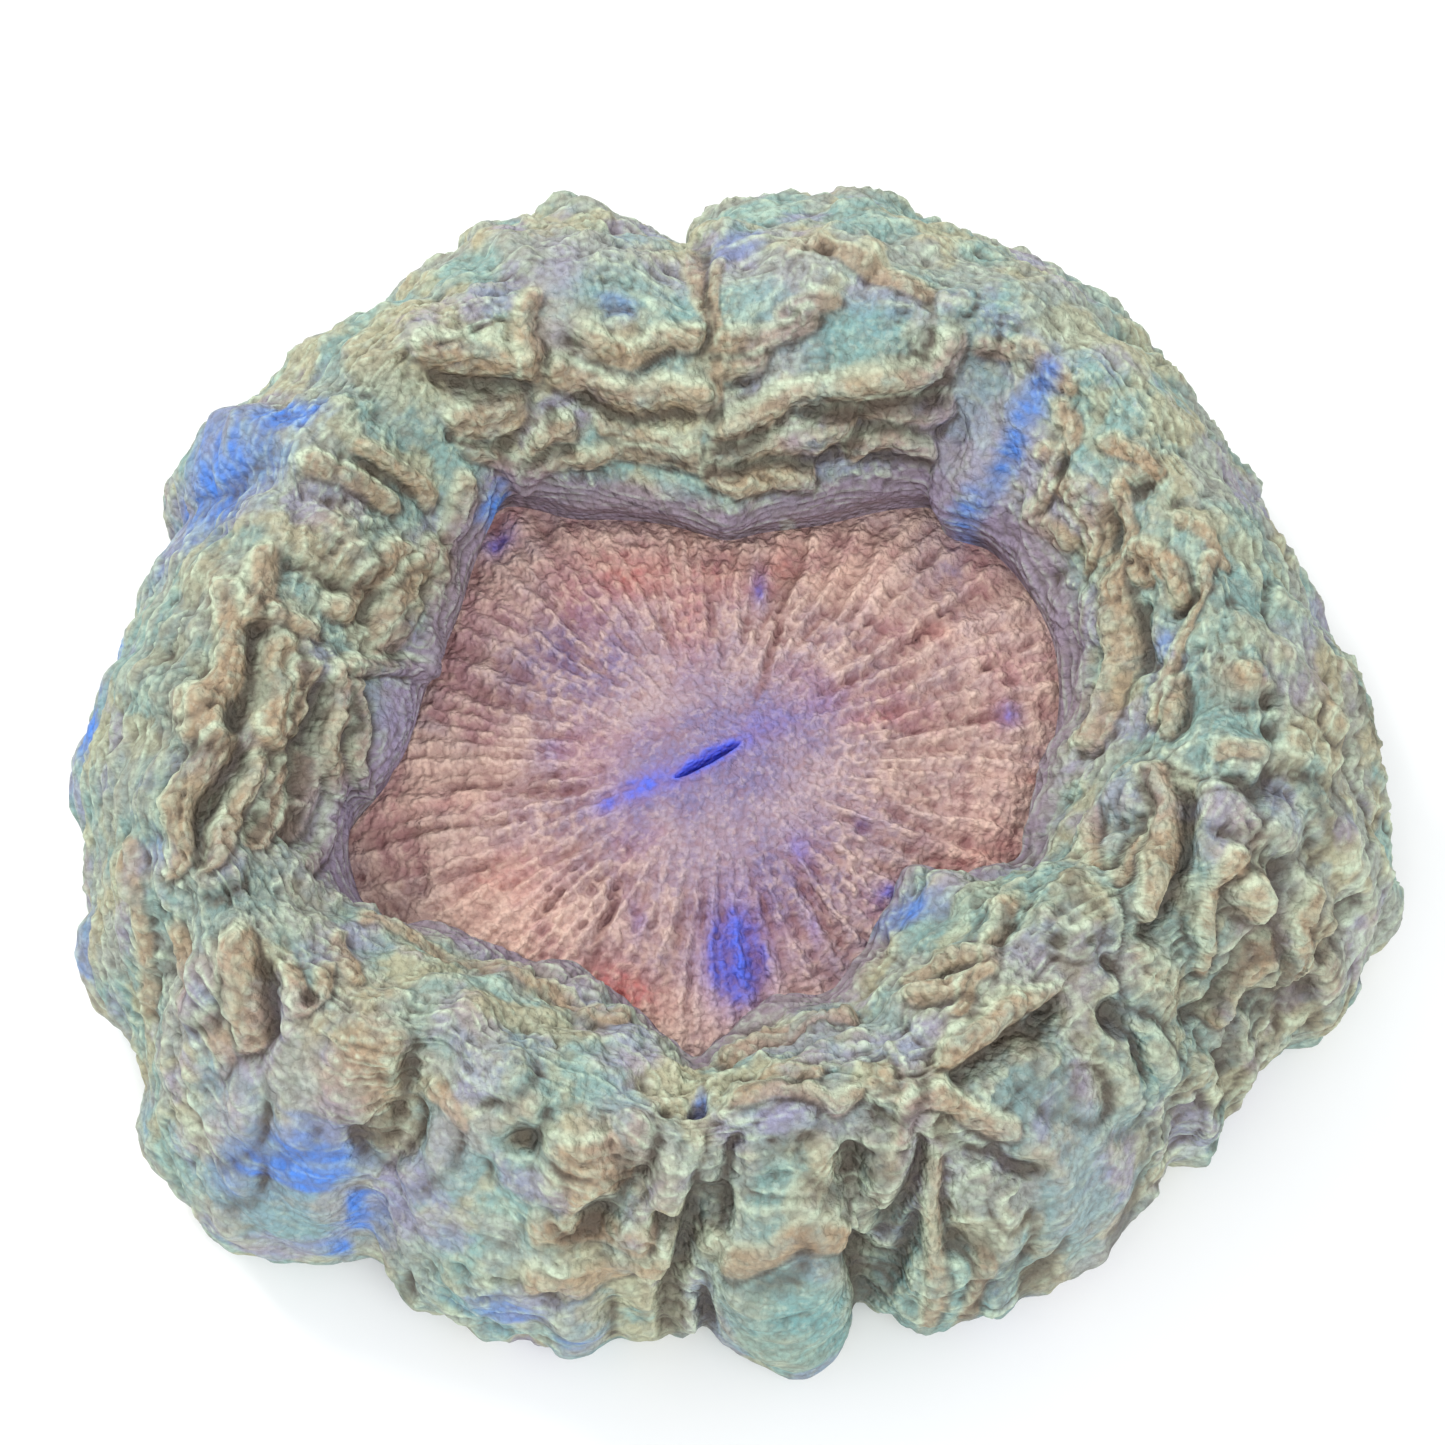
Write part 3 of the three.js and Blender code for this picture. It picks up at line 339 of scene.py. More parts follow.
# Pits: plan point, radius, depth
PITS = [
    [10.8, 58, 1.6, 1.6], [-20.5, 47, 1.3, 1.6], [-28.5, 37.4, 1.5, 2], [-22.8, 39.6, 1.3, 1.8],
    [-3, 32.2, 1.3, 1.4], [-48, -36.4, 1.6, 2.4], [-36, -44, 1.6, 1.8], [-42, -48.6, 1.6, 1.8],
    [-23.4, -50.8, 1.8, 2], [-28, -54, 1.5, 1.4], [-15.8, -57, 2.2, 3], [-38.5, -60.5, 1.6, 1.8],
    [-4.6, -47.4, 1.5, 2.6], [-8, -48.4, 1.4, 1.8], [11.2, -58.6, 1.8, 2], [22, -50.4, 1.6, 2],
    [41.3, -31.3, 1.6, 2], [41.7, -35.8, 2.2, 3], [35.3, -29, 1.6, 1.8], [53, -41, 1.4, 1.4],
    [60, 0.2, 1.6, 1.8], [60.3, -3.4, 1.6, 1.4], [69.5, -5.8, 1.8, 1.8], [72.5, -8.5, 1.8, 1.8],
    [69, 4, 1.8, 1.8], [70.5, -0.6, 1.6, 1.4], [57.2, 12, 1.6, 1.4], [37.6, 22.2, 1.5, 1.6],
    [42.5, 36.8, 1.3, 1.2], [38.8, 32, 1.6, 1.8], [51, 24.5, 1.5, 1.4], [47.2, 26.6, 1.5, 1.4],
    [-59.2, 25.6, 1.6, 1.2],
]

WIDEST_HEIGHT = MANTLE[-1][2]

# Mantle rings that curl in to the cut: share of the widest ring's reach, height
CURL = [[0.997, 8], [0.992, 6.2], [0.984, 4.6], [0.972, 3], [0.958, 1.6], [0.94, 0.5], [0.92, 0]]

# Parts of the mantle that stay smooth: plan point, reach
SMOOTH = [
    [38, -50, 10], [5.6, -65, 10], [-63, 35, 9], [-50, -53, 9], [-33, -54, 8], [29, 38, 8],
    [-41, 2.5, 4.5], [14, 48.4, 6], [-21.5, 52, 5], [54, -0.6, 5], [-75, 8, 6], [-14, -66, 7],
    [-48.5, -44, 5], [-42, -17, 4], [51, -19, 3], [-12, 44.2, 3], [21, -22.5, 4],
]

# Patches of tint: plan point, half sizes, turn in degrees, strength
BLUE_PATCHES = [
    [-54, 36.6, 3.8, 2.8, -20, 1.4], [-50, 37, 2, 2, 0, 0.9], [-62.5, 31, 10, 8, 30, 0.95],
    [35.6, 41, 4.4, 2, 62, 0.9], [32.6, 36, 4, 1.9, 64, 1.0], [28.4, 31.4, 3, 1.9, 40, 0.85],
    [-50, -51.6, 10, 4, -3, 1.15], [-45.4, -53, 3.6, 4, 0, 1.5], [-77, 18, 5, 3, 65, 1.1],
    [-79, 6, 5, 3.4, 80, 1], [-72, 23.5, 3.4, 2.6, 0, 1], [-78, -24, 9, 2, 85, 0.7],
    [-72, -38, 8, 2.6, -70, 0.75], [-62, -38, 6, 5, 0, 0.3], [-18.6, -65.6, 3.4, 2.6, 0, 0.8],
    [-27, -64.6, 7, 2, -6, 0.85],
    [-4.4, -47.2, 0.9, 1.7, 0, 1.2], [19.6, -21.4, 5, 2.4, 20, 0.8], [17, -17.4, 2.2, 2.2, 0, 0.7],
    [-30.2, 31.8, 1.2, 3, -30, 1.2], [49.4, 8, 1.6, 2, 0, 0.6], [50.6, -13.4, 1.6, 2, 0, 0.6],
    [-66, -18, 4, 3, 20, 0.4], [-0.5, 62, 6, 4, 30, 0.45], [-14.4, 51.6, 2.4, 2, 0, 0.6],
    [30.6, -62, 2.4, 3, 0, 0.45], [59, -35, 1.6, 3, 20, 0.4], [-60, 50, 6, 3, 40, 0.35],
    [59.6, 3, 1.8, 1.8, 0, 0.35], [54.6, -31.6, 1.2, 1.2, 0, 0.55],
]
LILAC_PATCHES = [
    [-21.6, 57, 3, 6, 5, 0.7], [28, 36, 5, 9, 20, 0.8], [6, 51, 4, 8, 0, 0.35], [27, 29.6, 6, 3, -30, 0.8],
    [-41, 2, 3, 7, -8, 0.9], [-47, -9, 4, 3, 30, 0.6], [-48, -16, 4, 5, 0, 0.5], [-42, -17, 3, 5, 10, 0.7],
    [-59.6, -33.4, 3, 3, 0, 0.6], [-56.5, -46, 4, 5, 0, 0.6], [-44.6, -46.4, 3, 3, 0, 0.6],
    [38, -50, 9, 7, -20, 0.3], [36.8, -42.8, 1.4, 2.4, 0, 0.8], [44, -11.4, 3.4, 3, 0, 0.6],
    [5, -49.8, 7, 1.6, 0, 0.6], [18.6, -50, 2, 2.4, 0, 0.6], [-12.6, -49, 3, 3, 0, 0.4],
    [-34, -52, 5, 4, 0, 0.35], [31.6, -30.6, 2.6, 2, 0, 0.6], [55, -14, 2.4, 2.4, 0, 0.5],
    [61, -12, 2.6, 3, 0, 0.45], [-21.4, 48, 2.2, 2, 0, 0.6], [6.6, 38, 2, 1.6, 0, 0.6],
    [-13, 63, 4, 4, 0, 0.3], [-50.5, -37.5, 3, 2, 0, 0.4], [8, -38.6, 7, 2, 5, 0.5],
]
TEAL_PATCHES = [
    [14, 48.6, 7, 3.4, 0, 0.9], [-12, 44.2, 7, 1.6, -4, 0.8], [54, -0.8, 4, 7, 0, 0.8],
    [5.6, -64, 9, 7, 0, 0.9], [-57.5, -25.6, 4, 2.4, -10, 0.8], [44.4, -36.6, 3, 6, 20, 0.8],
    [28, -44.6, 5, 3, 30, 0.6], [-24, -42, 5, 4, 0, 0.7], [59, -14, 4, 9, 0, 0.35],
    [-13, 53, 8, 4, 0, 0.6], [-45, 38, 5, 4, 0, 0.5], [37, 47, 9, 6, -30, 0.35], [17, -61, 4, 3, 0, 0.6],
    [48.4, 14, 2.4, 7, -10, 0.7], [58, 12, 4, 7, 0, 0.5], [25, -23, 5, 2, 30, 0.7], [-66, 6, 5, 9, 0, 0.3],
    [33, -28, 4, 5, 0, 0.5], [-37, -60, 8, 3, 0, 0.3], [51, -20, 2, 6, 0, 0.6], [-1, 44.4, 4, 1.4, 12, 0.7],
    [-48.6, -4, 1.2, 3, 0, 0.5], [-49.6, 13, 3, 4, 0, 0.4], [12, -55, 4, 4, 0, 0.3],
    [-70, -8, 6, 6, 0, 0.3], [40, 33, 6, 4, -30, 0.4], [28, -61, 2, 4, 0, 0.6], [-31, -62, 8, 2.4, 0, 0.5],
]
TAN_PATCHES = [
    [-41, -43.4, 5, 4.4, 0, 1.1], [-25, 48.6, 1.8, 3.6, 0, 0.9], [-17.4, -54, 4, 4, 0, 0.9],
    [16, -46.4, 3, 2.4, 40, 0.9], [-58.8, 6, 1.8, 9, 5, 0.7], [-54, -5, 2.4, 3, 0, 0.9],
    [-62, -2, 3, 3, 0, 0.8], [-12, -52, 2.6, 3, 0, 0.6], [57.6, 2, 3.4, 3, 0, 0.7],
    [57, -15.6, 2, 2.4, 0, 0.8], [57.4, -22, 3, 4, 0, 0.7], [45.4, 18, 2.4, 2.4, 0, 0.8],
    [51, 15.4, 2, 3, 0, 0.7], [47.4, -17, 1.8, 8, 0, 0.8], [25, -42, 5, 3, 40, 0.8],
    [-13.6, 49.4, 2, 2, 0, 0.6], [-24, -49, 2.6, 2.4, 0, 0.4], [-54.6, -35, 1.8, 5, 0, 0.9],
    [9.6, -55, 3, 5, -30, 0.5], [65, -26, 7, 5, 30, 0.4], [67, 2, 6, 9, 0, 0.4], [-47, 19.6, 4, 3, 0, 0.6],
    [-32, 44, 7, 2, 0, 0.6], [34, -33, 6, 4, 20, 0.3], [8, -38.4, 10, 3, 0, 0.4],
    [-30, -38, 14, 5, -8, 0.35], [47, 30, 3, 3, 0, 0.6], [37.4, 33, 1.6, 3, 0, 0.7], [46, -31, 5, 4, 0, 0.5],
]
# Darker olive patches: painted shade over the left side and a few other parts, with an olive tone
OLIVE_SHADE_PATCHES = [
    [-57, -6, 13, 30, 5, 1.1], [-46, 30, 10, 14, 30, 0.6], [-47, 12, 6, 22, -12, 0.8],
    [60, -30, 14, 14, 20, 0.6],
    [14, -54, 22, 8, 0, 0.5], [40, -36, 14, 12, 30, 0.8], [56, 8, 12, 24, 0, 0.5], [-6, 46, 30, 4, 0, 0.4],
]

# Disc: deeper radial furrows as half width, depth and plan points, then its patches of tint
FURROWS = [
    [0.8, 0.9, [7.4, 30], [5, 20], [2.4, 9.5]], [0.7, 0.7, [-3.4, 29.3], [-3.4, 17.9]],
    [0.8, 1, [-14.2, -14.2], [-18, -26.5]], [0.7, 0.9, [-20.9, -15.2], [-23.2, -18.1]],
    [0.7, 0.8, [-30, -24], [-25.8, -20.5]], [0.8, 0.8, [-36, -1.6], [-19, -2.6]],
    [0.7, 0.7, [-42, -8], [-28, -6.6]], [0.7, 0.7, [-40, -15], [-27, -11.4]],
    [0.7, 0.8, [24, 29], [14, 17.6]], [0.7, 0.7, [30, 25], [19, 15.6]], [0.7, 0.6, [36, 17], [22, 9]],
    [0.7, 0.6, [37, 9], [20, 5]], [0.7, 0.6, [26, -13], [12, -6]], [0.7, 0.7, [12, -21], [6, -11]],
    [0.6, 0.6, [3, -27], [1, -12]], [0.7, 0.6, [16, 30], [9.6, 17]], [0.7, 0.6, [-27, 27], [-20, 19]],
    [0.7, 0.6, [-34, 12], [-24, 8]], [0.6, 0.5, [-6, -30], [-5.4, -17]], [0.6, 0.6, [34, -4], [20, -2]],
]
DISC_BLUE = [
    [-3.8, 0.3, 5.4, 1.1, 30, 1.7], [-11.4, -2.6, 3.4, 1.5, 25, 1.2], [-15.4, -4.6, 2, 1.2, 20, 0.9],
    [2.4, 4.6, 5, 2, 28, 0.5], [-0.4, -23.6, 3.3, 5.6, 3, 1.8], [-0.6, -18.6, 1, 2, 0, 0.6],
    [2.5, 24, 0.9, 2.4, 0, 0.75], [-11.9, -18.9, 1, 1.8, 0, 0.5], [17.6, -15.6, 1.8, 1.2, 20, 0.8],
    [7, -10.4, 1.2, 2.2, 20, 0.6], [8.6, -20, 0.9, 2.6, 10, 0.5], [32.6, 7.4, 1.3, 1.5, 0, 0.9],
    [14.5, -7, 0.9, 0.9, 0, 0.7], [-22.6, 2.4, 1.6, 1.8, 0, 0.35], [-29.6, 31, 1.2, 2.2, -40, 1],
    [10, 8.4, 2.4, 1.6, 30, 0.35], [-13.6, 17.4, 1.2, 3, -20, 0.15],
]
DISC_MAUVE = [
    [-3.6, 1, 17, 8, 28, 1.4], [-20, 14, 10, 9, -20, 1], [2, -12, 14, 12, 0, 0.95],
    [-4, 8, 8, 12, 0, 0.7], [14, 8, 9, 6, 20, 0.4], [-8, -22, 10, 6, 0, 0.5], [8, -24, 7, 6, 0, 0.5],
    [26, 27, 1.6, 2.6, 0, 0.6], [-24, -4, 6, 3, 10, 0.35],
]
# Peach patches where the disc is lightened against the lip's shade: painted light
DISC_PEACH_LIGHT = [
    [-27, 21, 9, 8, 45, 1.0], [-14, 27, 11, 5, 0, 0.9], [12, 28, 14, 4, 0, 0.8], [-30, -17, 12, 7, -25, 0.8],
    [-9, -28, 12, 6, 0, 0.9], [8, -27, 9, 6, 0, 0.7], [-36, 4, 5, 12, -10, 0.6],
]
DISC_RED = [
    [-14.3, -27.5, 4, 2.6, -15, 1.6], [-14.3, 25.8, 5, 3.4, 0, 0.75], [-6, 19, 2.4, 6, 0, 0.5],
    [-19.6, 22, 3, 5, 10, 0.5], [16.6, 6.8, 4, 1, 12, 0.7], [24, 18.6, 1.8, 1.4, 0, 0.6],
    [-3, 26.6, 4, 3, 0, 0.6], [5, 27, 2, 3, 0, 0.5], [-27, -13, 6, 3, 10, 0.5], [-34, -4.4, 6, 2, 0, 0.4],
    [36, -1, 3, 1, 0, 0.4], [-25, -26.6, 4, 2, -14, 0.5], [28, -11, 5, 1.4, 20, 0.5],
]


def lap_curve(table, angle):
    """Closed smooth curve through a table of degrees and value."""
    knots = np.array(table, float)
    count = len(knots)
    angle = np.mod(angle, 360.0)
    here = (np.searchsorted(knots[:, 0], angle, side="right") - 1) % count
    after = (here + 1) % count
    span = np.mod(knots[after, 0] - knots[here, 0], 360.0)
    u = np.mod(angle - knots[here, 0], 360.0) / span
    before_gap = np.mod(knots[:, 0] - np.roll(knots[:, 0], 1), 360.0)
    after_gap = np.mod(np.roll(knots[:, 0], -1) - knots[:, 0], 360.0)
    slope = (np.roll(knots[:, 1], -1) - np.roll(knots[:, 1], 1)) / (before_gap + after_gap)
    return hermite(u, knots[here, 1], slope[here] * span, knots[after, 1], slope[after] * span)


def hermite(u, value, slope, next_value, next_slope):
    """Smooth step from one value and slope to the next."""
    u2, u3 = u * u, u * u * u
    rise = next_value * (3 * u2 - 2 * u3) + value * (1 - 3 * u2 + 2 * u3)
    return rise + slope * (u3 - 2 * u2 + u) + next_slope * (u3 - u2)


def open_curve(table, column, share):
    """Open smooth curve through one column of a table, held at its ends."""
    knots = np.array(table, float)
    where, value = knots[:, 0], knots[:, column]
    slope = np.empty_like(value)
    slope[1:-1] = (value[2:] - value[:-2]) / (where[2:] - where[:-2])
    slope[0] = (value[1] - value[0]) / (where[1] - where[0])
    slope[-1] = (value[-1] - value[-2]) / (where[-1] - where[-2])
    here = np.clip(np.searchsorted(where, share, side="right") - 1, 0, len(where) - 2)
    span = where[here + 1] - where[here]
    u = np.clip((share - where[here]) / span, 0, 1)
    return hermite(u, value[here], slope[here] * span, value[here + 1], slope[here + 1] * span)


def ease(value, low, high):
    """0 below the low mark, 1 above the high one, and smooth between."""
    u = np.clip((value - low) / (high - low), 0, 1)
    return u * u * (3 - 2 * u)


def bell(value, middle, width):
    """1 at the middle, and falling off to either side."""
    return np.exp(-(((value - middle) / width) ** 2))


def dome(u, power=1):
    """1 in the middle, and rounded off to 0 at u = 1."""
    return np.clip(1 - u * u, 0, 1) ** power


def lift_to(field, some, value):
    """Bring some points of a field up to a value, where they lie lower."""
    field[some] = np.maximum(field[some], value)


def round_points(radius, turn, height):
    """Points from their radius, turn and height."""
    return np.stack([radius * np.cos(turn), radius * np.sin(turn), height], -1)


def lumpy(points, cell, seed):
    """Smooth random field between 0 and 1 over points in millimetres."""
    size = 48
    lattice = np.random.default_rng(seed).random((size, size, size))
    scaled = points / cell
    whole = np.floor(scaled).astype(int)
    part = scaled - whole
    part = part * part * (3 - 2 * part)
    total = np.zeros(len(points))
    for i in (0, 1):
        for j in (0, 1):
            for k in (0, 1):
                corner = (whole + (i, j, k)) % size
                weight = 1.0
                for axis, step in enumerate((i, j, k)):
                    weight = weight * (part[:, axis] if step else 1 - part[:, axis])
                total += weight * lattice[corner[:, 0], corner[:, 1], corner[:, 2]]
    return total


def creased(points, cell, seed):
    """Random field with sharp crests at 1 and broad hollows at 0."""
    return 1 - np.abs(2 * lumpy(points, cell, seed) - 1) * 1.6


def plan_distance(x, y, line):
    """Shortest plan distance to a line of points, and how far the place lies to the line's lee side."""
    nearest = np.full(x.shape, 1e9)
    lee = np.zeros(x.shape)
    for (ax, ay), (bx, by) in zip(line[:-1], line[1:]):
        dx, dy = bx - ax, by - ay
        t = np.clip(((x - ax) * dx + (y - ay) * dy) / (dx * dx + dy * dy), 0, 1)
        ex, ey = x - ax - t * dx, y - ay - t * dy
        distance = np.hypot(ex, ey)
        closer = distance < nearest
        side = (ex * LEE_SIDE[0] + ey * LEE_SIDE[1]) / np.maximum(distance, 1e-6)
        lee = np.where(closer, side, lee)
        nearest = np.where(closer, distance, nearest)
    return nearest, lee


def near(x, y, line, margin):
    """Points of the surface inside a line's box."""
    xs, ys = [p[0] for p in line], [p[1] for p in line]
    inside = (x > min(xs) - margin) & (x < max(xs) + margin)
    return np.nonzero(inside & (y > min(ys) - margin) & (y < max(ys) + margin))[0]


def folds_over(x, y, beads):
    """Height of folds and blisters, depth of crevices, the painted shadow at the folds' foot, the painted
    highlight on their lit edge, and their body.
    """
    raised, swollen, sunk, foot, edge, body = (np.zeros(x.shape) for _ in range(6))
    # Folds: a cord, a ramp behind it, painted shadow at its foot on the side away from the light, and a
    # painted highlight along its lit edge
    for reach, height, *line in RIDGES:
        some = near(x, y, line, 3.2 * reach)
        distance, lee = plan_distance(x[some], y[some], line)
        slim = 1 - 0.24 * ease(x[some], 30, 44)
        u = distance / (reach * slim * (0.9 - 0.1 * lee) * (0.84 + 0.32 * beads[some]))
        cord = 0.58 * height * dome(u, 0.75)
        ramp = 0.36 * height * np.clip(1 - distance / (3 * reach), 0, 1) * ease(-lee, -0.3, 0.5)
        lift_to(raised, some, cord + ramp)
        lift_to(foot, some, bell(u, 1.08, 0.2) * ease(lee, -0.1, 0.5) * min(1, height / 1.7))
        lift_to(edge, some, bell(u, 0.82, 0.2) * ease(-lee, 0.0, 0.6) * min(1, height / 2))
        lift_to(body, some, np.clip(1.3 - u, 0, 1))
    # Lumps, with painted shadow at their feet on the side away from the light
    for lx, ly, reach, height in LUMPS:
        some = near(x, y, [(lx, ly)], 1.3 * reach)
        ex, ey = x[some] - lx, y[some] - ly
        u = np.hypot(ex, ey) / reach
        lift_to(swollen, some, height * dome(u, 0.7))
        lee = (ex * LEE_SIDE[0] + ey * LEE_SIDE[1]) / np.maximum(u * reach, 1e-6)
        shaded = bell(u, 1.02, 0.2) * ease(lee, 0, 0.7) * min(1, height / 2.4)
        lift_to(foot, some, shaded if reach < BROAD_LUMP else 0.3 * shaded)
    # Crevices and pits
    for reach, depth, *line in CREVICES:
        some = near(x, y, line, 2 * reach)
        distance, _ = plan_distance(x[some], y[some], line)
        u = distance / (reach * 0.95)
        lift_to(sunk, some, 0.75 * depth * dome(u, 1.2))
    for px, py, reach, depth in PITS:
        some = near(x, y, [(px, py)], 1.3 * reach)
        u = np.hypot(x[some] - px, y[some] - py) / reach
        lift_to(sunk, some, 0.8 * depth * dome(u))
    return raised, swollen, sunk, foot, edge, body


def tint(x, y, patches):
    """Strength of the patches of one tint over plan points."""
    total = np.zeros(x.shape)
    for px, py, half_x, half_y, turn, strength in patches:
        c, s = math.cos(math.radians(turn)), math.sin(math.radians(turn))
        dx, dy = x - px, y - py
        u = ((dx * c + dy * s) / half_x) ** 2 + ((dy * c - dx * s) / half_y) ** 2
        total = np.maximum(total, strength * np.exp(-0.8 * u))
    return total


def smoothness(x, y):
    """1 where the flesh stays smooth, 0 elsewhere."""
    total = np.zeros(x.shape)
    for sx, sy, reach in SMOOTH:
        total = np.maximum(total, 1 - ease(np.hypot(x - sx, y - sy), 0.6 * reach, 1.1 * reach))
    return total


def plain_mantle(angle, share):
    """Mantle without its folds, in plan millimetres."""
    inner = lap_curve(DISC_EDGE, angle)
    radius = inner + open_curve(MANTLE, 1, share) * (lap_curve(OUTLINE, angle) - inner)
    height = open_curve(MANTLE, 2, share)
    lip = lap_curve(LIP_RISE, angle) * np.maximum(0, 1 - share / LIP_BLEND)
    crest = lap_curve(CREST_RISE, angle) * np.clip(height / MANTLE_HEIGHT, 0, 1) ** 2
    return round_points(radius, np.radians(angle), height + lip + crest) + (*MOUTH, 0)


def outward_of(angle, share):
    """Unit direction out of the plain mantle."""
    step, sweep = 0.004, 0.5
    ahead = plain_mantle(angle, np.minimum(share + step, 1))
    along = ahead - plain_mantle(angle, np.maximum(share - step, 0))
    across = plain_mantle(angle + sweep, share) - plain_mantle(angle - sweep, share)
    outward = np.cross(along, across)
    return outward / np.linalg.norm(outward, axis=1, keepdims=True)


def swelling(p):
    """Slow waves in the flesh, in millimetres."""
    x, y, z = p[:, 0], p[:, 1], p[:, 2]
    bend = 0.9 * np.sin(0.21 * y + 0.11 * z)
    slow = np.sin(0.23 * x + bend) * np.cos(0.25 * y - 0.17 * z)
    quick = np.sin(0.61 * x + 0.38 * z + bend) * np.cos(0.57 * y - 0.44 * z)
    return 1.1 * (0.8 * slow + 0.6 * quick)


def puffed(points, cell, seed):
    """Random field of rounded pads at 1 parted by sharp creases at 0."""
    return np.clip(np.abs(2 * lumpy(points, cell, seed) - 1) * 2.4, 0, 1) ** 0.6


def eased_over(field, around, rings_each_way, steps_each_way):
    """Field of the rings averaged over its neighbours, closed round the mouth and held at the ends."""
    grid = field.reshape(-1, around)
    for reach, axis in ((rings_each_way, 0), (steps_each_way, 1)):
        pad = [(reach, reach), (0, 0)] if axis == 0 else [(0, 0), (reach, reach)]
        padded = np.pad(grid, pad, mode="edge" if axis == 0 else "wrap")
        total = np.cumsum(padded, axis=axis)
        zero = np.zeros_like(np.take(total, [0], axis=axis))
        total = np.concatenate([zero, total], axis=axis)
        wide = 2 * reach + 1
        count = grid.shape[axis]
        upper = np.take(total, np.arange(wide, wide + count), axis=axis)
        grid = (upper - np.take(total, np.arange(count), axis=axis)) / wide
    return grid.reshape(-1)


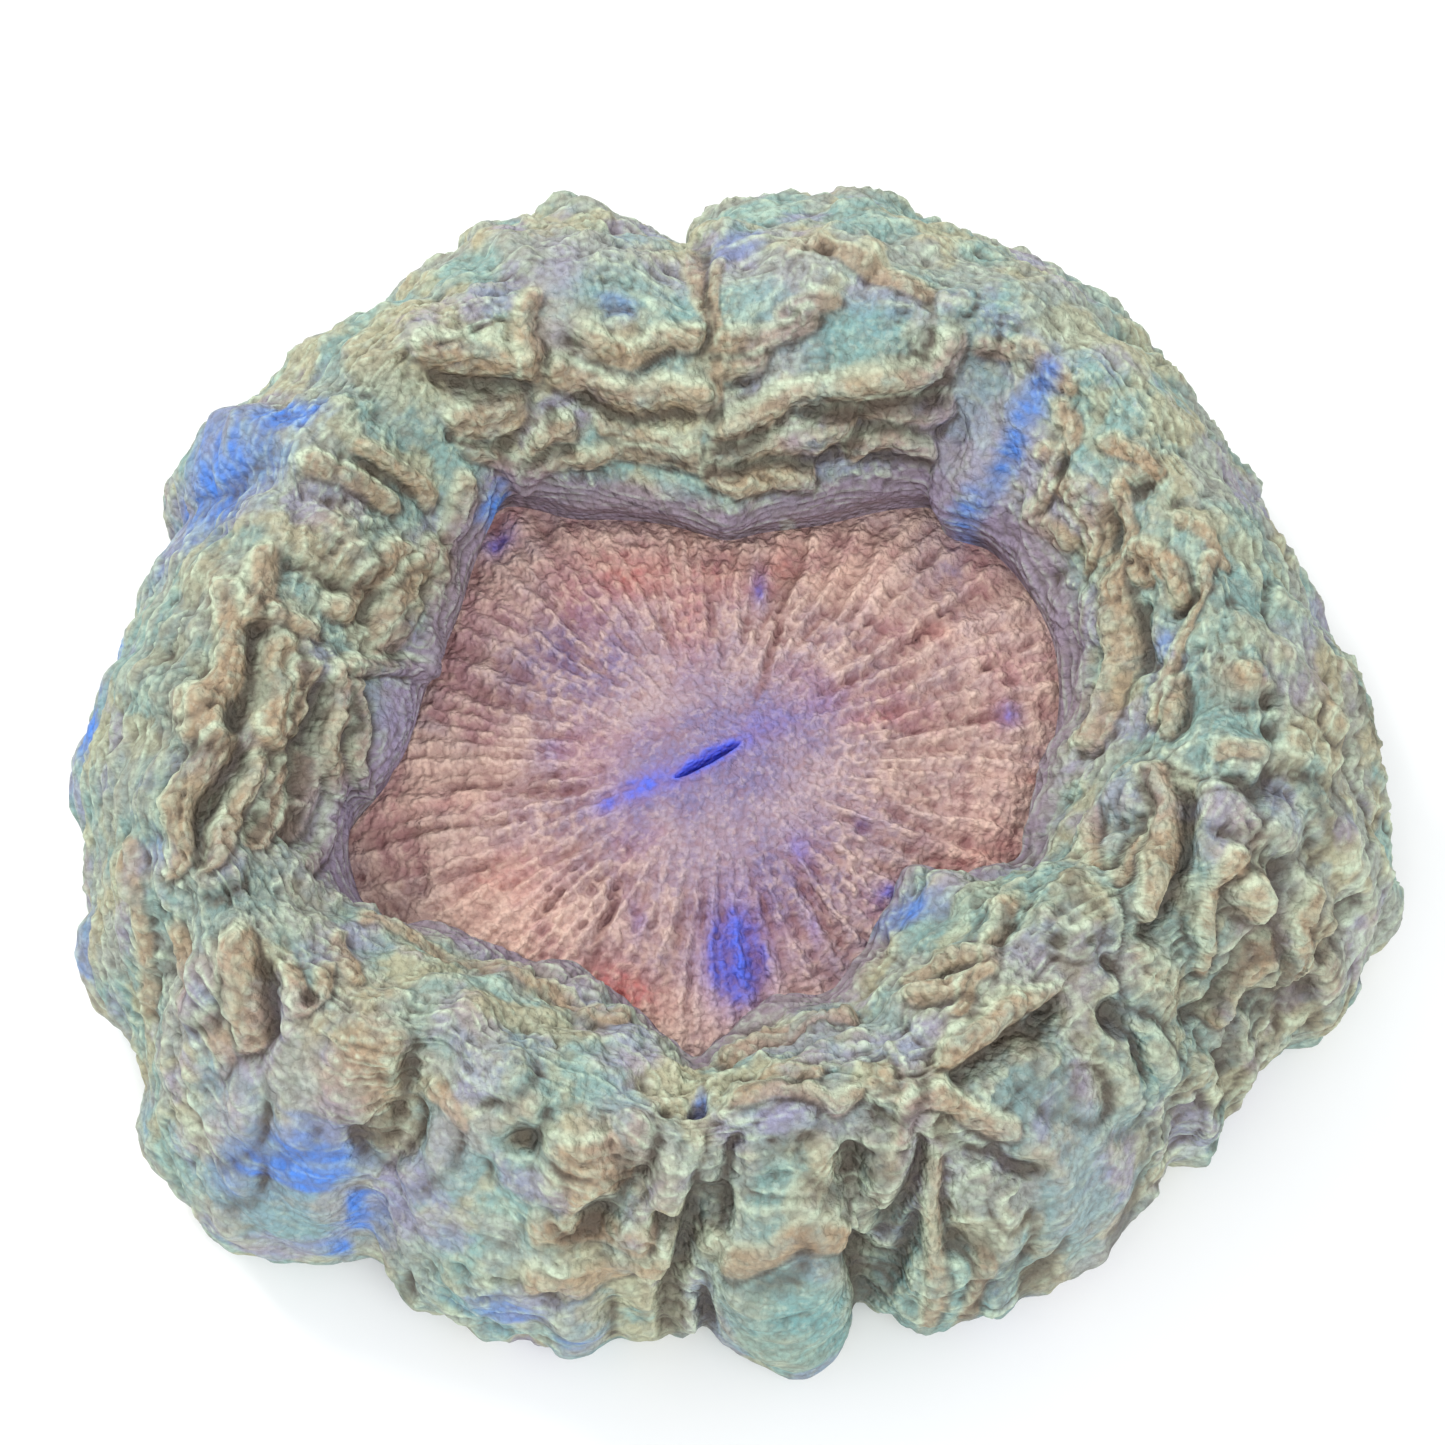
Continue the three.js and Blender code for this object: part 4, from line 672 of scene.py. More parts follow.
def folded_mantle(angle, share):
    """Mantle with all its folds, and the masks that its finish follows."""
    p = plain_mantle(angle, share)
    x, y = p[:, 0], p[:, 1]
    # Warped places, and the folds laid over them
    flat = p * (1, 1, 0.4)
    warp = np.stack([lumpy(flat, 4.5, seed) - 0.5 for seed in (1, 2, 3)], -1)
    small = np.stack([lumpy(flat, 1.5, seed) - 0.5 for seed in (4, 5, 6)], -1)
    wx = x + 1.5 * warp[:, 0] + 0.4 * small[:, 0]
    wy = y + 1.5 * warp[:, 1] + 0.4 * small[:, 1]
    raised, swollen, sunk, foot, edge, cords = folds_over(wx, wy, lumpy(p, 1.9, 17))
    body = np.maximum(raised, swollen) + 0.35 * np.minimum(raised, swollen)
    from_lip = share * (lap_curve(OUTLINE, angle) - lap_curve(DISC_EDGE, angle))
    lip_fade = np.clip(share / 0.05, 0, 1)
    lip_band = 1 - ease(from_lip, *LIP_LINES_FADE)
    rim = 1 - (1 - RIM_STRENGTH) * np.clip((share - RIM_SHARE) / (1 - RIM_SHARE), 0, 1)
    rough = 1 - 0.62 * smoothness(x, y)
    # Random fields, some of them drawn out round the mouth
    path = MANTLE_PATH * share
    lap = round_points(LAP_RADIUS, np.radians(angle), 2.1 * path) + 3.6 * warp + 1.2 * small
    beads = lumpy(p + 0.6 * warp, 1.25, 13)
    pads = puffed(lap, 8.0, 11)
    knobs = puffed(p + 2.0 * warp, 4.2, 14)
    wrinkles = creased(lap + 2 * warp, 3.0, 12)
    wisps = creased(lap * (0.8, 0.8, 1.7) + 1.5 * warp, 4.4, 18)
    motes = lumpy(p, 0.85, 19)
    waver = lumpy(lap, 9, 16)
    # Ledges like stepped plates, strongest at the lower right, and crumbs
    stepped = 3 * lumpy(p + 2.5 * warp, 7.5, 15)
    part_step = stepped - np.floor(stepped)
    ledge = np.floor(stepped) + ease(part_step, 0.4, 0.6)
    plates = ease(x - y, 10, 70) * rough * (1 - ease(raised, 0.3, 1))
    crumbs = puffed(p + 0.8 * small, 1.5, 30)
    crumbly = np.maximum(ease(raised, 0.2, 1), ease(lumpy(p, 8, 29), 0.46, 0.6))
    # Fine relief, with ripples along the lip and on the front bubble
    far = ease(share, 0.3, 0.6)
    fine = 0.5 * (pads - 0.7) + 0.45 * (knobs - 0.7) + 0.3 * (wrinkles - 0.5) + 0.55 * (beads - 0.5)
    fine = fine + (0.55 * far + 0.5 * plates) * (ledge - 1.5) + 0.35 * (wisps - 0.5) + 0.5 * (motes - 0.5)
    fine = fine * (1 - 0.5 * ease(sunk, 0.3, 1))
    fine = fine * (0.7 + 0.3 * crumbly) + 0.42 * crumbly * (crumbs - 0.6)
    lines = np.sin(2 * math.pi * (from_lip / LIP_LINE_GAP + 2.2 * waver))
    fine = fine * rough * (1 - 0.85 * lip_band) + 0.28 * lines * lip_band
    bubble = 1 - ease(np.hypot(x - BUBBLE[0], y - BUBBLE[1]), *BUBBLE_FADE)
    fine = fine + 0.1 * np.sin(2 * math.pi * (p[:, 2] / BUBBLE_RIPPLE + 1.4 * waver)) * bubble
    # The flesh moved out along the plain mantle, its folds leaning over
    calm = 0.7 + 0.3 * ease(x - y, -30, 50)
    settled = eased_over((body - sunk - 0.6 * foot) * calm, MANTLE_AROUND, 2, 1)
    offset = settled * FOLD_STRENGTH * rim + swelling(p) + fine * (0.5 + 0.5 * rim)
    p = p + outward_of(angle, share) * (offset * lip_fade)[:, None]
    lean = FOLD_LEAN * raised * lip_fade * (1 - share)
    p[:, 0] += LEE_SIDE[0] * lean
    p[:, 1] += LEE_SIDE[1] * lean
    # Masks; the blue one is blotched and faded low on the flank, so that it doesn't run down it
    stand = offset - eased_over(offset, MANTLE_AROUND, 6, 7)
    nip = offset - eased_over(offset, MANTLE_AROUND, 2, 2)
    plain = 1 - lip_band
    pale = (0.5 * ease(wisps, 0.78, 0.98) + 0.25 * ease(wrinkles, 0.85, 1)) * (1 - ease(cords, 0.1, 0.5))
    lip_lines = lip_band * ease(lumpy(lap, 5, 20), 0.3, 0.6)
    blotched = (0.25 + 0.75 * ease(lumpy(p, 6, 37), 0.36, 0.54)) * ease(p[:, 2], 4, 16)
    not_run_down = 1 - ease(share, 0.68, 0.82) * (1 - blotched)
    masks = {
        "crest": np.maximum(0.5 * ease(stand, 0.1, 0.9), ease(cords, 0.1, 0.6)) * (1 - 0.6 * lip_band),
        # painted shade: darker in hollows, creases, at the folds' and steps' feet, in crevices and in the
        # lip ripples' troughs
        "hollow_shade": np.clip(
            (0.6 * ease(-stand, 0.3, 1.6) + foot + 0.6 * ease(-nip, 0.06, 0.3)) * (0.35 + 0.65 * plain)
            + 0.8 * plates * bell(part_step, 0.37, 0.06) + 0.7 * ease(sunk, 0.5, 1.3)
            + 0.6 * ease(-lines, 0.5, 1) * lip_lines, 0, 1.2
        ),
        # pale threads and wisps, with painted highlights on the folds' lit edges, fine crests, step edges
        # and lip ripple crests
        "thread_and_highlight": np.clip(
            (pale + edge + 0.4 * ease(nip, 0.06, 0.3)) * (0.3 + 0.7 * rough) * plain
            + 0.5 * plates * bell(part_step, 0.64, 0.06)
            + 0.4 * ease(lines, 0.7, 1) * lip_lines, 0, 1
        ),
        "lip": 1 - ease(from_lip, *LIP_TINT_FADE),
        "blue": broken(tint(wx, wy, BLUE_PATCHES), p, lap, 31) * not_run_down,
        "lilac": tint(wx, wy, LILAC_PATCHES),
        "teal": tint(wx, wy, TEAL_PATCHES),
        "tan": tint(wx, wy, TAN_PATCHES),
        # darker olive: painted shade, with an olive tone
        "olive_shade": tint(wx, wy, OLIVE_SHADE_PATCHES),
    }
    return p, masks


def broken(strength, points, streaks, seed):
    """Patch strength with a ragged, streaky edge."""
    ragged = 0.35 * lumpy(points, 2.2, seed) + 0.65 * lumpy(streaks * (0.3, 0.3, 1.0), 1.6, seed + 1)
    kept = ease(strength + 0.5 * (ragged - 0.5), 0.15, 0.5)
    return np.clip(strength * (0.45 + 1.1 * ragged), 0, 1.4) * kept


def disc_reach(angle):
    """Radius of the disc's edge, where it runs on under the lip."""
    return lap_curve(DISC_EDGE, angle) + lap_curve(TUCK, angle)


def disc_plan(angle, share):
    """Plan of the disc's rings, from the slit's narrow oval out to the edge."""
    turn = np.radians(angle)
    flat = share * disc_reach(angle)
    past_slit = ease(share, 0.0, 0.3)
    opened, spread = ease(share, 0, SLIT_EDGE_SHARE), np.maximum(share - SLIT_EDGE_SHARE, 0)
    long = SLIT_HALF_LENGTH * (0.75 + 0.25 * opened) + 30 * spread
    wide = SLIT_HALF_WIDTH * (0.3 + 0.7 * opened) + 32 * spread
    slit_x, slit_y = long * np.cos(turn - SLIT_TURN), wide * np.sin(turn - SLIT_TURN)
    c, s = math.cos(SLIT_TURN), math.sin(SLIT_TURN)
    disc_x, disc_y = MOUTH[0] + flat * np.cos(turn), MOUTH[1] + flat * np.sin(turn)
    x = (1 - past_slit) * (SLIT_CENTRE[0] + slit_x * c - slit_y * s) + past_slit * disc_x
    y = (1 - past_slit) * (SLIT_CENTRE[1] + slit_x * s + slit_y * c) + past_slit * disc_y
    return x, y


def folded_disc(angle, share):
    """Grainy disc with the slit mouth, and the masks that its finish follows."""
    x, y = disc_plan(angle, share)
    plan = np.stack([x, y, np.zeros_like(x)], -1)
    far = np.hypot(x - MOUTH[0], y - MOUTH[1])
    bearing = np.arctan2(y - MOUTH[1], x - MOUTH[0])
    # Rows from the mouth out, and random fields
    sway = 0.05 * (lumpy(plan, 9, 21) - 0.5) + 0.022 * (lumpy(plan, 3, 22) - 0.5)
    rows = 0.5 + 0.5 * np.cos(SEPTAL_ROWS * (bearing + sway))
    main_rows = 0.5 + 0.5 * np.cos(SEPTAL_ROWS / 2 * (bearing + sway))
    split = ease(far, 13, 24)
    row = (1 - split) * main_rows + split * rows
    grown = ease(far, 7, 22)
    grains = puffed(plan, 1.3, 23)
    motes = lumpy(plan, 0.7, 24)
    clumps = lumpy(plan, 3.0, 25)
    # Furrows between the rows
    furrow = np.zeros(x.shape)
    for width, depth, *line in FURROWS:
        some = near(x, y, line, 2 * width)
        shift_x, shift_y = 0.8 * (clumps[some] - 0.5), 0.8 * (motes[some] - 0.5)
        distance, _ = plan_distance(x[some] + shift_x, y[some] + shift_y, line)
        lift_to(furrow, some, depth * dome(distance / width))
    ring = round_points(30, bearing, far / 2.2)
    bead_ring = round_points(17, bearing + sway, far * 0.9)
    row_beads = 0.5 * lumpy(bead_ring, 1.1, 27) + 0.5 * lumpy(plan + 0.5 * (clumps - 0.5)[:, None], 0.62, 28)
    dark_row = (1 - main_rows) ** 3 * ease(lumpy(ring, 4.0, 26), 0.4, 0.62) * ease(far, 13, 21)
    furrow = np.maximum(furrow, 0.95 * dark_row * (0.6 + 0.8 * motes))
    # Height
    floor = ease(share, 0, 0.025)
    rise = open_curve(DISC, 1, np.clip(far / 38, 0, 1)) * 0.9 + 0.5 * tint(x, y, MOUTH_SWELL)
    height = DISC_EDGE_HEIGHT + rise * (1 - ease(share, 0.93, 1)) - SLIT_DEPTH * (1 - floor)
    lips = 0.35 * bell(share, 0.045, 0.02)
    flaky = 0.62 * row + 1.1 * (row_beads - 0.5) + 0.16 * (grains - 0.6)
    relief = grown * (flaky + 0.5 * (motes - 0.5) + 0.3 * (clumps - 0.5) - furrow)
    relief = relief + (1 - grown) * (0.3 * (motes - 0.5) + 0.07 * main_rows)
    height = height + lips + relief * (1 - ease(share, 0.965, 1)) * floor
    # Masks
    ragged = 0.45 + 1.1 * motes
    peach_light = np.clip(tint(x, y, DISC_PEACH_LIGHT), 0, 1)
    between = 0.5 * (1 - row) * (1.2 - row_beads) + 0.4 * ease(0.44 - row_beads, 0, 0.2)
    masks = {
        # painted shade in the furrows and between the rows and grains, less on the peach patches
        "furrow": np.clip(furrow + grown * between, 0, 1.3) * (1 - 0.45 * peach_light),
        # painted highlight on the tops of the raised grains
        "grain": np.clip(grown * ease(row_beads + 0.3 * motes + 0.15 * row, 0.62, 1.0), 0, 1),
        "mouth": 1 - ease(share, 0.006, 0.04),
        # pale outer disc: its salmon colour, and painted light against the lip's shade, stronger on the
        # peach patches
        "outer": ease(far, 14, 30) * (0.66 + 0.5 * peach_light),
        "blue": np.clip(tint(x, y, DISC_BLUE) * (0.5 + 0.5 * ragged), 0, 1.4),
        "mauve": np.clip(tint(x, y, DISC_MAUVE) * (0.7 + 0.6 * clumps), 0, 1.2),
        "red": np.clip(tint(x, y, DISC_RED) * (0.5 + motes), 0, 1.2),
    }
    return np.stack([x, y, height], -1), masks


def grid_of(around, shares):
    """Angle and share of every point of the rings."""
    angle = np.tile(np.arange(around) * 360.0 / around, len(shares))
    return angle, np.repeat(shares, around)


def to_frame(points):
    """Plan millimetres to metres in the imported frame, kept inside the solid's box."""
    metres = (points - (*CUT_CENTRE, 0)) * MM
    return np.clip(metres, np.array(cad_box[0]), np.array(cad_box[1]))


def make_piece(name, points, masks, around, finish, closed_by=None):
    """Mesh of rings with its masks, riding on the body and standing for its solid."""
    rings = len(points) // around
    first = np.arange(rings - 1)[:, None] * around
    k = np.arange(around)[None, :]
    following = (k + 1) % around
    corners = [first + k, first + around + k, first + around + following, first + following]
    faces = np.stack(corners, -1).reshape(-1, 4).tolist()
    vertices = to_frame(points)
    if closed_by is not None:
        start = (rings - 1) * around if closed_by == "under" else 0
        centre = vertices[start : start + around].mean(axis=0)
        vertices = np.vstack([vertices, centre])
        hub = len(vertices) - 1
        for j in range(around):
            a, b = start + j, start + (j + 1) % around
            faces.append((a, hub, b) if closed_by == "under" else (hub, a, b))
    mesh = bpy.data.meshes.new(name)
    mesh.from_pydata(vertices.tolist(), [], faces)
    mesh.update()
    mesh.polygons.foreach_set("use_smooth", np.ones(len(mesh.polygons), bool))
    for mask, values in masks.items():
        layer = mesh.attributes.new(mask, "FLOAT", "POINT")
        padded = np.append(values, values[-1]) if closed_by is not None else values
        layer.data.foreach_set("value", padded.astype(np.float32))
    mesh.materials.append(finish)
    piece = bpy.data.objects.new(name, mesh)
    bpy.context.scene.collection.objects.link(piece)
    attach(piece, "root")
    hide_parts("coral")
    return piece


def shade(red, green, blue):
    """Linear colour from the 0 to 255 values that the eye sees."""
    def linear(v):
        v /= 255
        return v / 12.92 if v <= 0.04045 else ((v + 0.055) / 1.055) ** 2.4
    return (linear(red), linear(green), linear(blue), 1)


def flesh_group(name, numbers, results):
    """New shared group: its numbers with their defaults in, its results out, and the flesh's own place."""
    group = bpy.data.node_groups.new(name, "ShaderNodeTree")
    for label, value in numbers.items():
        socket = group.interface.new_socket(name=label, in_out="INPUT", socket_type="NodeSocketFloat")
        socket.default_value = value
    for label, kind in results.items():
        group.interface.new_socket(name=label, in_out="OUTPUT", socket_type=kind)
    ends = [group.nodes.new(kind) for kind in ("NodeGroupInput", "NodeGroupOutput", "ShaderNodeTexCoord")]
    return group, *ends


def mottle_group():
    """Uneven tint of flesh: a mask from broad and small clouds, with its own threshold."""
    numbers = {"Cell": 200.0, "Detail": 4.0, "Low": 0.42, "High": 0.62}
    group, given, made, place = flesh_group("flesh_mottle", numbers, {"Mask": "NodeSocketFloat"})
    nodes, links = group.nodes, group.links
    cloud = nodes.new("ShaderNodeTexNoise")
    spread = nodes.new("ShaderNodeMapRange")
    spread.interpolation_type = "SMOOTHSTEP"
    links.new(place.outputs["Object"], cloud.inputs["Vector"])
    links.new(given.outputs["Cell"], cloud.inputs["Scale"])
    links.new(given.outputs["Detail"], cloud.inputs["Detail"])
    links.new(cloud.outputs["Fac"], spread.inputs["Value"])
    links.new(given.outputs["Low"], spread.inputs["From Min"])
    links.new(given.outputs["High"], spread.inputs["From Max"])
    links.new(spread.outputs["Result"], made.inputs["Mask"])
    return group


def skin_group():
    """Fine pebbled skin: a normal from cells over softer grain, and a mask for painted shade in the pits
    between them.
    """
    numbers = {"Pebble Scale": 900.0, "Grain Scale": 420.0, "Strength": 0.5}
    results = {"Normal": "NodeSocketVector", "Pits": "NodeSocketFloat"}
    group, given, made, place = flesh_group("flesh_skin", numbers, results)
    nodes, links = group.nodes, group.links
    pebble = nodes.new("ShaderNodeTexVoronoi")
    grain = nodes.new("ShaderNodeTexNoise")
    grain.inputs["Detail"].default_value = 4
    grain.inputs["Roughness"].default_value = 0.65
    both = nodes.new("ShaderNodeMath")
    both.operation = "MULTIPLY_ADD"
    both.inputs[1].default_value = -0.7
    skin = nodes.new("ShaderNodeBump")
    skin.inputs["Distance"].default_value = 0.0014
    pits = nodes.new("ShaderNodeMapRange")
    pits.inputs["From Min"].default_value = 0.2
    pits.inputs["From Max"].default_value = -0.02
    for texture, label in ((pebble, "Pebble Scale"), (grain, "Grain Scale")):
        links.new(place.outputs["Object"], texture.inputs["Vector"])
        links.new(given.outputs[label], texture.inputs["Scale"])
    links.new(pebble.outputs["Distance"], both.inputs[0])
    links.new(grain.outputs["Fac"], both.inputs[2])
    links.new(both.outputs[0], skin.inputs["Height"])
    links.new(both.outputs[0], pits.inputs["Value"])
    links.new(pits.outputs["Result"], made.inputs["Pits"])
    links.new(given.outputs["Strength"], skin.inputs["Strength"])
    links.new(skin.outputs["Normal"], made.inputs["Normal"])
    return group


class FleshFinish:
    """One finish built up as layers of tint over a ground colour."""

    def __init__(self, name, roughness):
        self.material = bpy.data.materials.new(name)
        self.material.use_nodes = True
        self.nodes = self.material.node_tree.nodes
        self.links = self.material.node_tree.links
        self.shader = self.nodes["Principled BSDF"]
        self.shader.inputs["Roughness"].default_value = roughness
        self.shader.inputs["Specular IOR Level"].default_value = 0.25
        self.colour = None

    def mask(self, name):
        """One mask that the mesh carries."""
        layer = self.nodes.new("ShaderNodeAttribute")
        layer.attribute_name = name
        return layer.outputs["Fac"]

    def mottle(self, cell, low, high, detail=4.0):
        """Mask of uneven clouds."""
        cloud = self.nodes.new("ShaderNodeGroup")
        cloud.node_tree = MOTTLE
        for label, value in (("Cell", cell), ("Detail", detail), ("Low", low), ("High", high)):
            cloud.inputs[label].default_value = value
        return cloud.outputs["Mask"]

    def combine(self, operation, first, second):
        """Two masks, or a mask and a number, made into one mask from 0 to 1."""
        node = self.nodes.new("ShaderNodeMath")
        node.operation = operation
        node.use_clamp = True
        for socket, value in zip(node.inputs, (first, second)):
            if isinstance(value, (int, float)):
                socket.default_value = value
            else:
                self.links.new(value, socket)
        return node.outputs[0]

    def layer(self, colour, amount, share=None):
        """Lay a colour over what is there, by a mask or by a share of it."""
        if share is not None:
            amount = self.combine("MULTIPLY", amount, share)
        mix = self.nodes.new("ShaderNodeMix")
        mix.data_type = "RGBA"
        mix.inputs["B"].default_value = colour
        if isinstance(self.colour, tuple):
            mix.inputs["A"].default_value = self.colour
        else:
            self.links.new(self.colour, mix.inputs["A"])
        self.links.new(amount, mix.inputs["Factor"])
        self.colour = mix.outputs["Result"]

    def flecks(self, pale, dark):
        """Small pale and dark flecks over the tints that are there."""
        self.layer(pale, self.mottle(900, 0.54, 0.66, 3.0), 0.2)
        self.layer(dark, self.mottle(640, 0.54, 0.68, 3.0), 0.3)

    def finished(self, pebble, grain, strength, pit_shade_colour):
        """Pebble the skin, paint shade into its pits and hand over the material."""
        skin = self.nodes.new("ShaderNodeGroup")
        skin.node_tree = SKIN
        for label, value in (("Pebble Scale", pebble), ("Grain Scale", grain), ("Strength", strength)):
            skin.inputs[label].default_value = value
        # Painted shade in the pits between the pebbles
        self.layer(pit_shade_colour, skin.outputs["Pits"], 0.3)
        self.links.new(skin.outputs["Normal"], self.shader.inputs["Normal"])
        self.links.new(self.colour, self.shader.inputs["Base Color"])
        return self.material


def mantle_finish():
    """Sage flesh with tan crests, teal hollows, pale threads and stray blue and lilac patches, with painted
    highlights on lit edges and painted shade in hollows, creases and pits.
    """
    flesh = FleshFinish("mantle_flesh", 0.68)
    flesh.colour = shade(162, 168, 158)
    flesh.layer(shade(134, 174, 168), flesh.mottle(75, 0.42, 0.56), 0.8)
    flesh.layer(shade(190, 182, 144), flesh.mottle(120, 0.48, 0.6), 0.75)
    flesh.layer(shade(156, 148, 186), flesh.mottle(90, 0.53, 0.64), 0.6)
    flesh.layer(shade(118, 168, 168), flesh.mask("teal"), 0.8)
    # Darker olive: painted shade over the left side and a few other parts
    flesh.layer(shade(118, 120, 108), flesh.mask("olive_shade"), 0.5)
    tan = flesh.combine("ADD", flesh.combine("MULTIPLY", flesh.mask("crest"), 0.85), flesh.mask("tan"))
    flesh.layer(shade(174, 152, 124), tan, flesh.mottle(240, 0.12, 0.56))
    flesh.flecks(shade(214, 218, 196), shade(110, 104, 92))
    flesh.layer(shade(148, 130, 146), flesh.mask("lip"), 0.9)
    flesh.layer(shade(156, 144, 178), flesh.mask("lilac"), 0.8)
    flesh.layer(shade(104, 136, 196), flesh.mask("blue"))
    flesh.layer(shade(70, 138, 236), flesh.combine("SUBTRACT", flesh.mask("blue"), 0.6))
    # Pale threads, with painted highlights along lit edges and crests
    flesh.layer(shade(216, 236, 206), flesh.mask("thread_and_highlight"), 0.66)
    # Painted shade in hollows, creases and crevices, and under the folds and steps
    flesh.layer(shade(74, 62, 54), flesh.mask("hollow_shade"), 0.7)
    return flesh.finished(950, 620, 0.75, shade(104, 96, 84))


def disc_finish():
    """Salmon grains with painted highlights on their tops, mauve towards the mouth, blue and red stains,
    painted shade in the rows between, and painted light on the shaded outer disc.
    """
    grain = FleshFinish("oral_disc_flesh", 0.66)
    grain.colour = shade(190, 166, 166)
    grain.layer(shade(208, 180, 166), grain.mottle(160, 0.42, 0.58), 0.8)
    # Pale outer disc: its salmon colour, with painted light where the lip shades it
    grain.layer(shade(246, 208, 188), grain.mask("outer"), grain.mottle(60, 0.34, 0.7))
    grain.layer(shade(184, 134, 136), grain.mottle(110, 0.5, 0.64), 0.7)
    grain.layer(shade(208, 106, 88), grain.mask("red"), 0.8)
    grain.layer(shade(136, 124, 160), grain.mask("mauve"), 0.9)
    grain.flecks(shade(232, 204, 188), shade(142, 100, 98))
    # Painted highlight on the tops of the raised grains
    grain.layer(shade(238, 208, 188), grain.mask("grain"), 0.5)
    grain.layer(shade(124, 116, 200), grain.mask("blue"), 0.9)
    grain.layer(shade(80, 112, 236), grain.combine("SUBTRACT", grain.mask("blue"), 0.6))
    # Painted shade in the furrows and between the rows
    grain.layer(shade(124, 78, 78), grain.mask("furrow"), 0.62)
    grain.layer(shade(100, 114, 240), grain.mask("mouth"))
    return grain.finished(1250, 900, 0.6, shade(140, 100, 98))


def floor_finish():
    """Plain pale floor with a faint unevenness."""
    pale = FleshFinish("pale_floor", 0.85)
    pale.colour = shade(244, 244, 243)
    pale.layer(shade(240, 240, 240), pale.mottle(3, 0.4, 0.6), 0.5)
    pale.links.new(pale.colour, pale.shader.inputs["Base Color"])
    return pale.material


def lay_floor():
    """Wide plain floor, just under the cut."""
    mesh = bpy.data.meshes.new("studio_floor")
    square = ((-1, -1), (1, -1), (1, 1), (-1, 1))
    corners = [(x * FLOOR_REACH, y * FLOOR_REACH, -FLOOR_DROP) for x, y in square]
    mesh.from_pydata(corners, [], [(0, 1, 2, 3)])
    mesh.materials.append(floor_finish())
    floor = bpy.data.objects.new("studio_floor", mesh)
    bpy.context.scene.collection.objects.link(floor)


def soft_light(name, place, size, power, colour):
    """Round soft lamp that points at the coral."""
    lamp = bpy.data.lights.new(name, "AREA")
    lamp.shape = "DISK"
    lamp.size = size
    lamp.energy = power
    lamp.color = colour
    holder = bpy.data.objects.new(name, lamp)
    bpy.context.scene.collection.objects.link(holder)
    holder.location = place
    direction = np.array(LIGHT_AIM) - np.array(place)
    dx, dy, dz = direction / np.linalg.norm(direction)
    holder.rotation_euler = (math.acos(-dz), 0, math.atan2(-dx, dy))


def set_camera():
    """Camera at the photograph's angle, looking at the target."""
    distance = CAMERA_DISTANCE * MM
    x, y, z = CAMERA_TARGET
    target = ((x - CUT_CENTRE[0]) * MM, (y - CUT_CENTRE[1]) * MM, z * MM)
    lens = bpy.data.cameras.new("studio_camera")
    lens.lens = CAMERA_LENS
    lens.sensor_width = CAMERA_SENSOR
    lens.clip_start = 0.01
    holder = bpy.data.objects.new("studio_camera", lens)
    bpy.context.scene.collection.objects.link(holder)
    holder.location = (
        target[0],
        target[1] - distance * math.cos(CAMERA_ELEVATION),
        target[2] + distance * math.sin(CAMERA_ELEVATION),
    )
    holder.rotation_euler = (math.pi / 2 - CAMERA_ELEVATION, 0, 0)
    bpy.context.scene.camera = holder


def set_light():
    """Soft key from the rear left, broad fill from the front, and pale air."""
    soft_light("rear_left_key", (-0.55, 0.5, 0.7), size=0.34, power=5.6, colour=(1, 0.985, 0.96))
    soft_light("front_fill", (0.15, -0.6, 0.8), size=0.9, power=5.8, colour=(0.97, 0.98, 1))
    world = bpy.data.worlds.new("studio_air")
    world.use_nodes = True
    air = world.node_tree.nodes["Background"]
    air.inputs["Color"].default_value = (0.95, 0.97, 1, 1)
    air.inputs["Strength"].default_value = 0.87
    bpy.context.scene.world = world
    bpy.context.scene.view_settings.view_transform = "Standard"


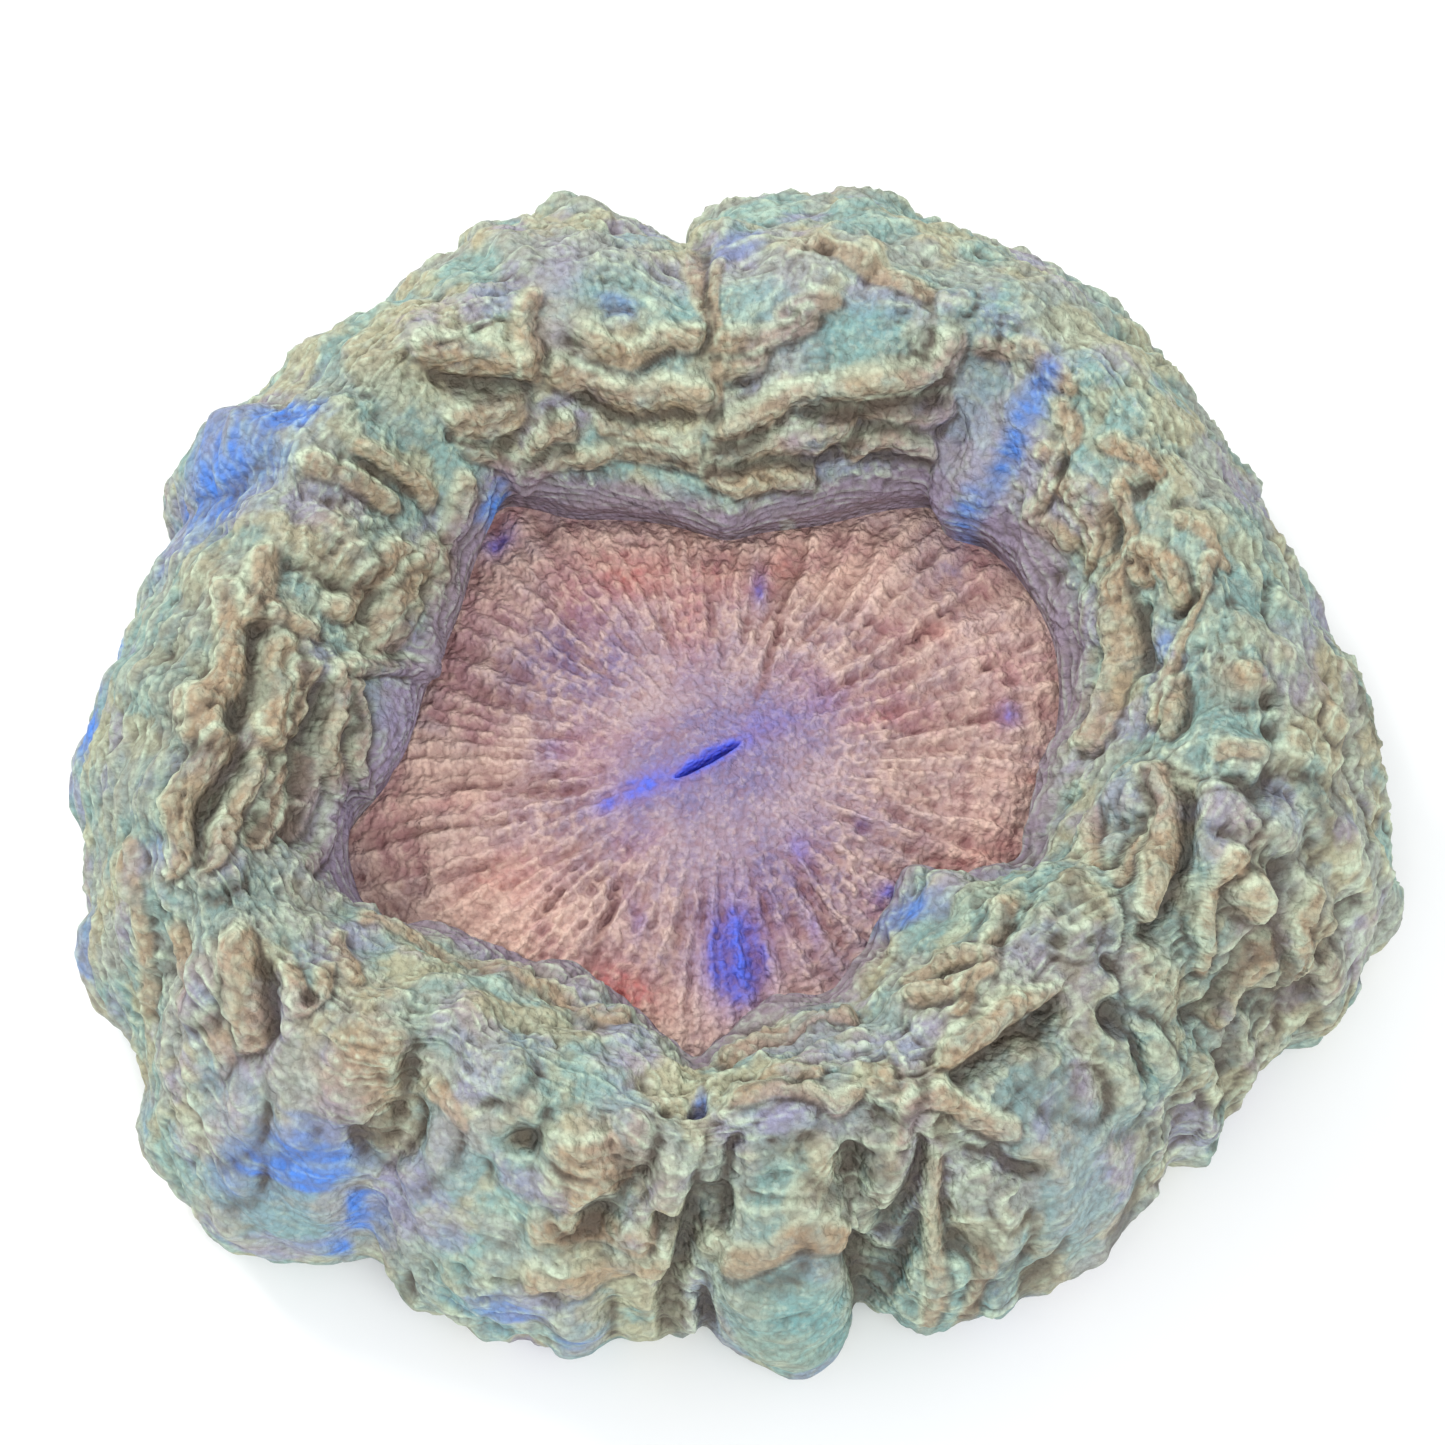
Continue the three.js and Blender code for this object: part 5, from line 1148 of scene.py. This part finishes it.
def build_disc():
    """Oral disc, its rings close together in the slit."""
    slit = np.linspace(0, SLIT_SHARE, SLIT_RINGS + 1)[:-1]
    shares = np.concatenate([slit, np.linspace(SLIT_SHARE, 1, DISC_RINGS - SLIT_RINGS)])
    angle, share = grid_of(DISC_AROUND, shares)
    points, masks = folded_disc(angle, share)
    make_piece("oral_disc", points, masks, DISC_AROUND, disc_finish(), closed_by="mouth")


def build_mantle(finish):
    """Wall under the lip, lip and folds up to the crest; then the outer slope curled in to the cut."""
    fold_shares = np.linspace(0, FOLD_SHARE, FOLD_RINGS - len(WALL_SHARES))
    flank_shares = np.linspace(FOLD_SHARE, 1, FLANK_RINGS - len(CURL))
    angle, share = grid_of(MANTLE_AROUND, np.concatenate([fold_shares, flank_shares[1:]]))
    points, masks = folded_mantle(angle, share)
    lip, round_angle = points[:MANTLE_AROUND], angle[:MANTLE_AROUND]
    level = np.full(round_angle.shape, DISC_EDGE_HEIGHT)
    foot = round_points(disc_reach(round_angle), np.radians(round_angle), level) + (*MOUTH, 0)
    below = [foot + (lip - foot) * np.array([w * w, w * w, w]) for w in WALL_SHARES]
    parting = len(fold_shares) * MANTLE_AROUND
    folds = np.vstack(below + [points[:parting]])
    fold_masks = {
        name: np.concatenate([values[:MANTLE_AROUND]] * len(WALL_SHARES) + [values[:parting]])
        for name, values in masks.items()
    }
    make_piece("mantle_folds", folds, fold_masks, MANTLE_AROUND, finish)
    start = parting - MANTLE_AROUND
    flank = [points[start:]]
    rim = points[-MANTLE_AROUND:]
    for draw, height in CURL:
        curled = rim.copy()
        curled[:, 2] = rim[:, 2] * height / WIDEST_HEIGHT
        uneven = draw + 0.018 * (lumpy(curled, 2.4, 35) - 0.5) + 0.014 * (puffed(curled, 5, 36) - 0.7)
        curled[:, 0] = MOUTH[0] + (rim[:, 0] - MOUTH[0]) * uneven
        curled[:, 1] = MOUTH[1] + (rim[:, 1] - MOUTH[1]) * uneven
        flank.append(curled)
    flank_masks = {
        name: np.concatenate([values[start:]] + [CURL_MASK_SHARE * values[-MANTLE_AROUND:]] * len(CURL))
        for name, values in masks.items()
    }
    flank = np.vstack(flank)
    make_piece("mantle_flank", flank, flank_masks, MANTLE_AROUND, finish, closed_by="under")


MOTTLE = mottle_group()
SKIN = skin_group()
build_disc()
build_mantle(mantle_finish())
lay_floor()
set_light()
set_camera()
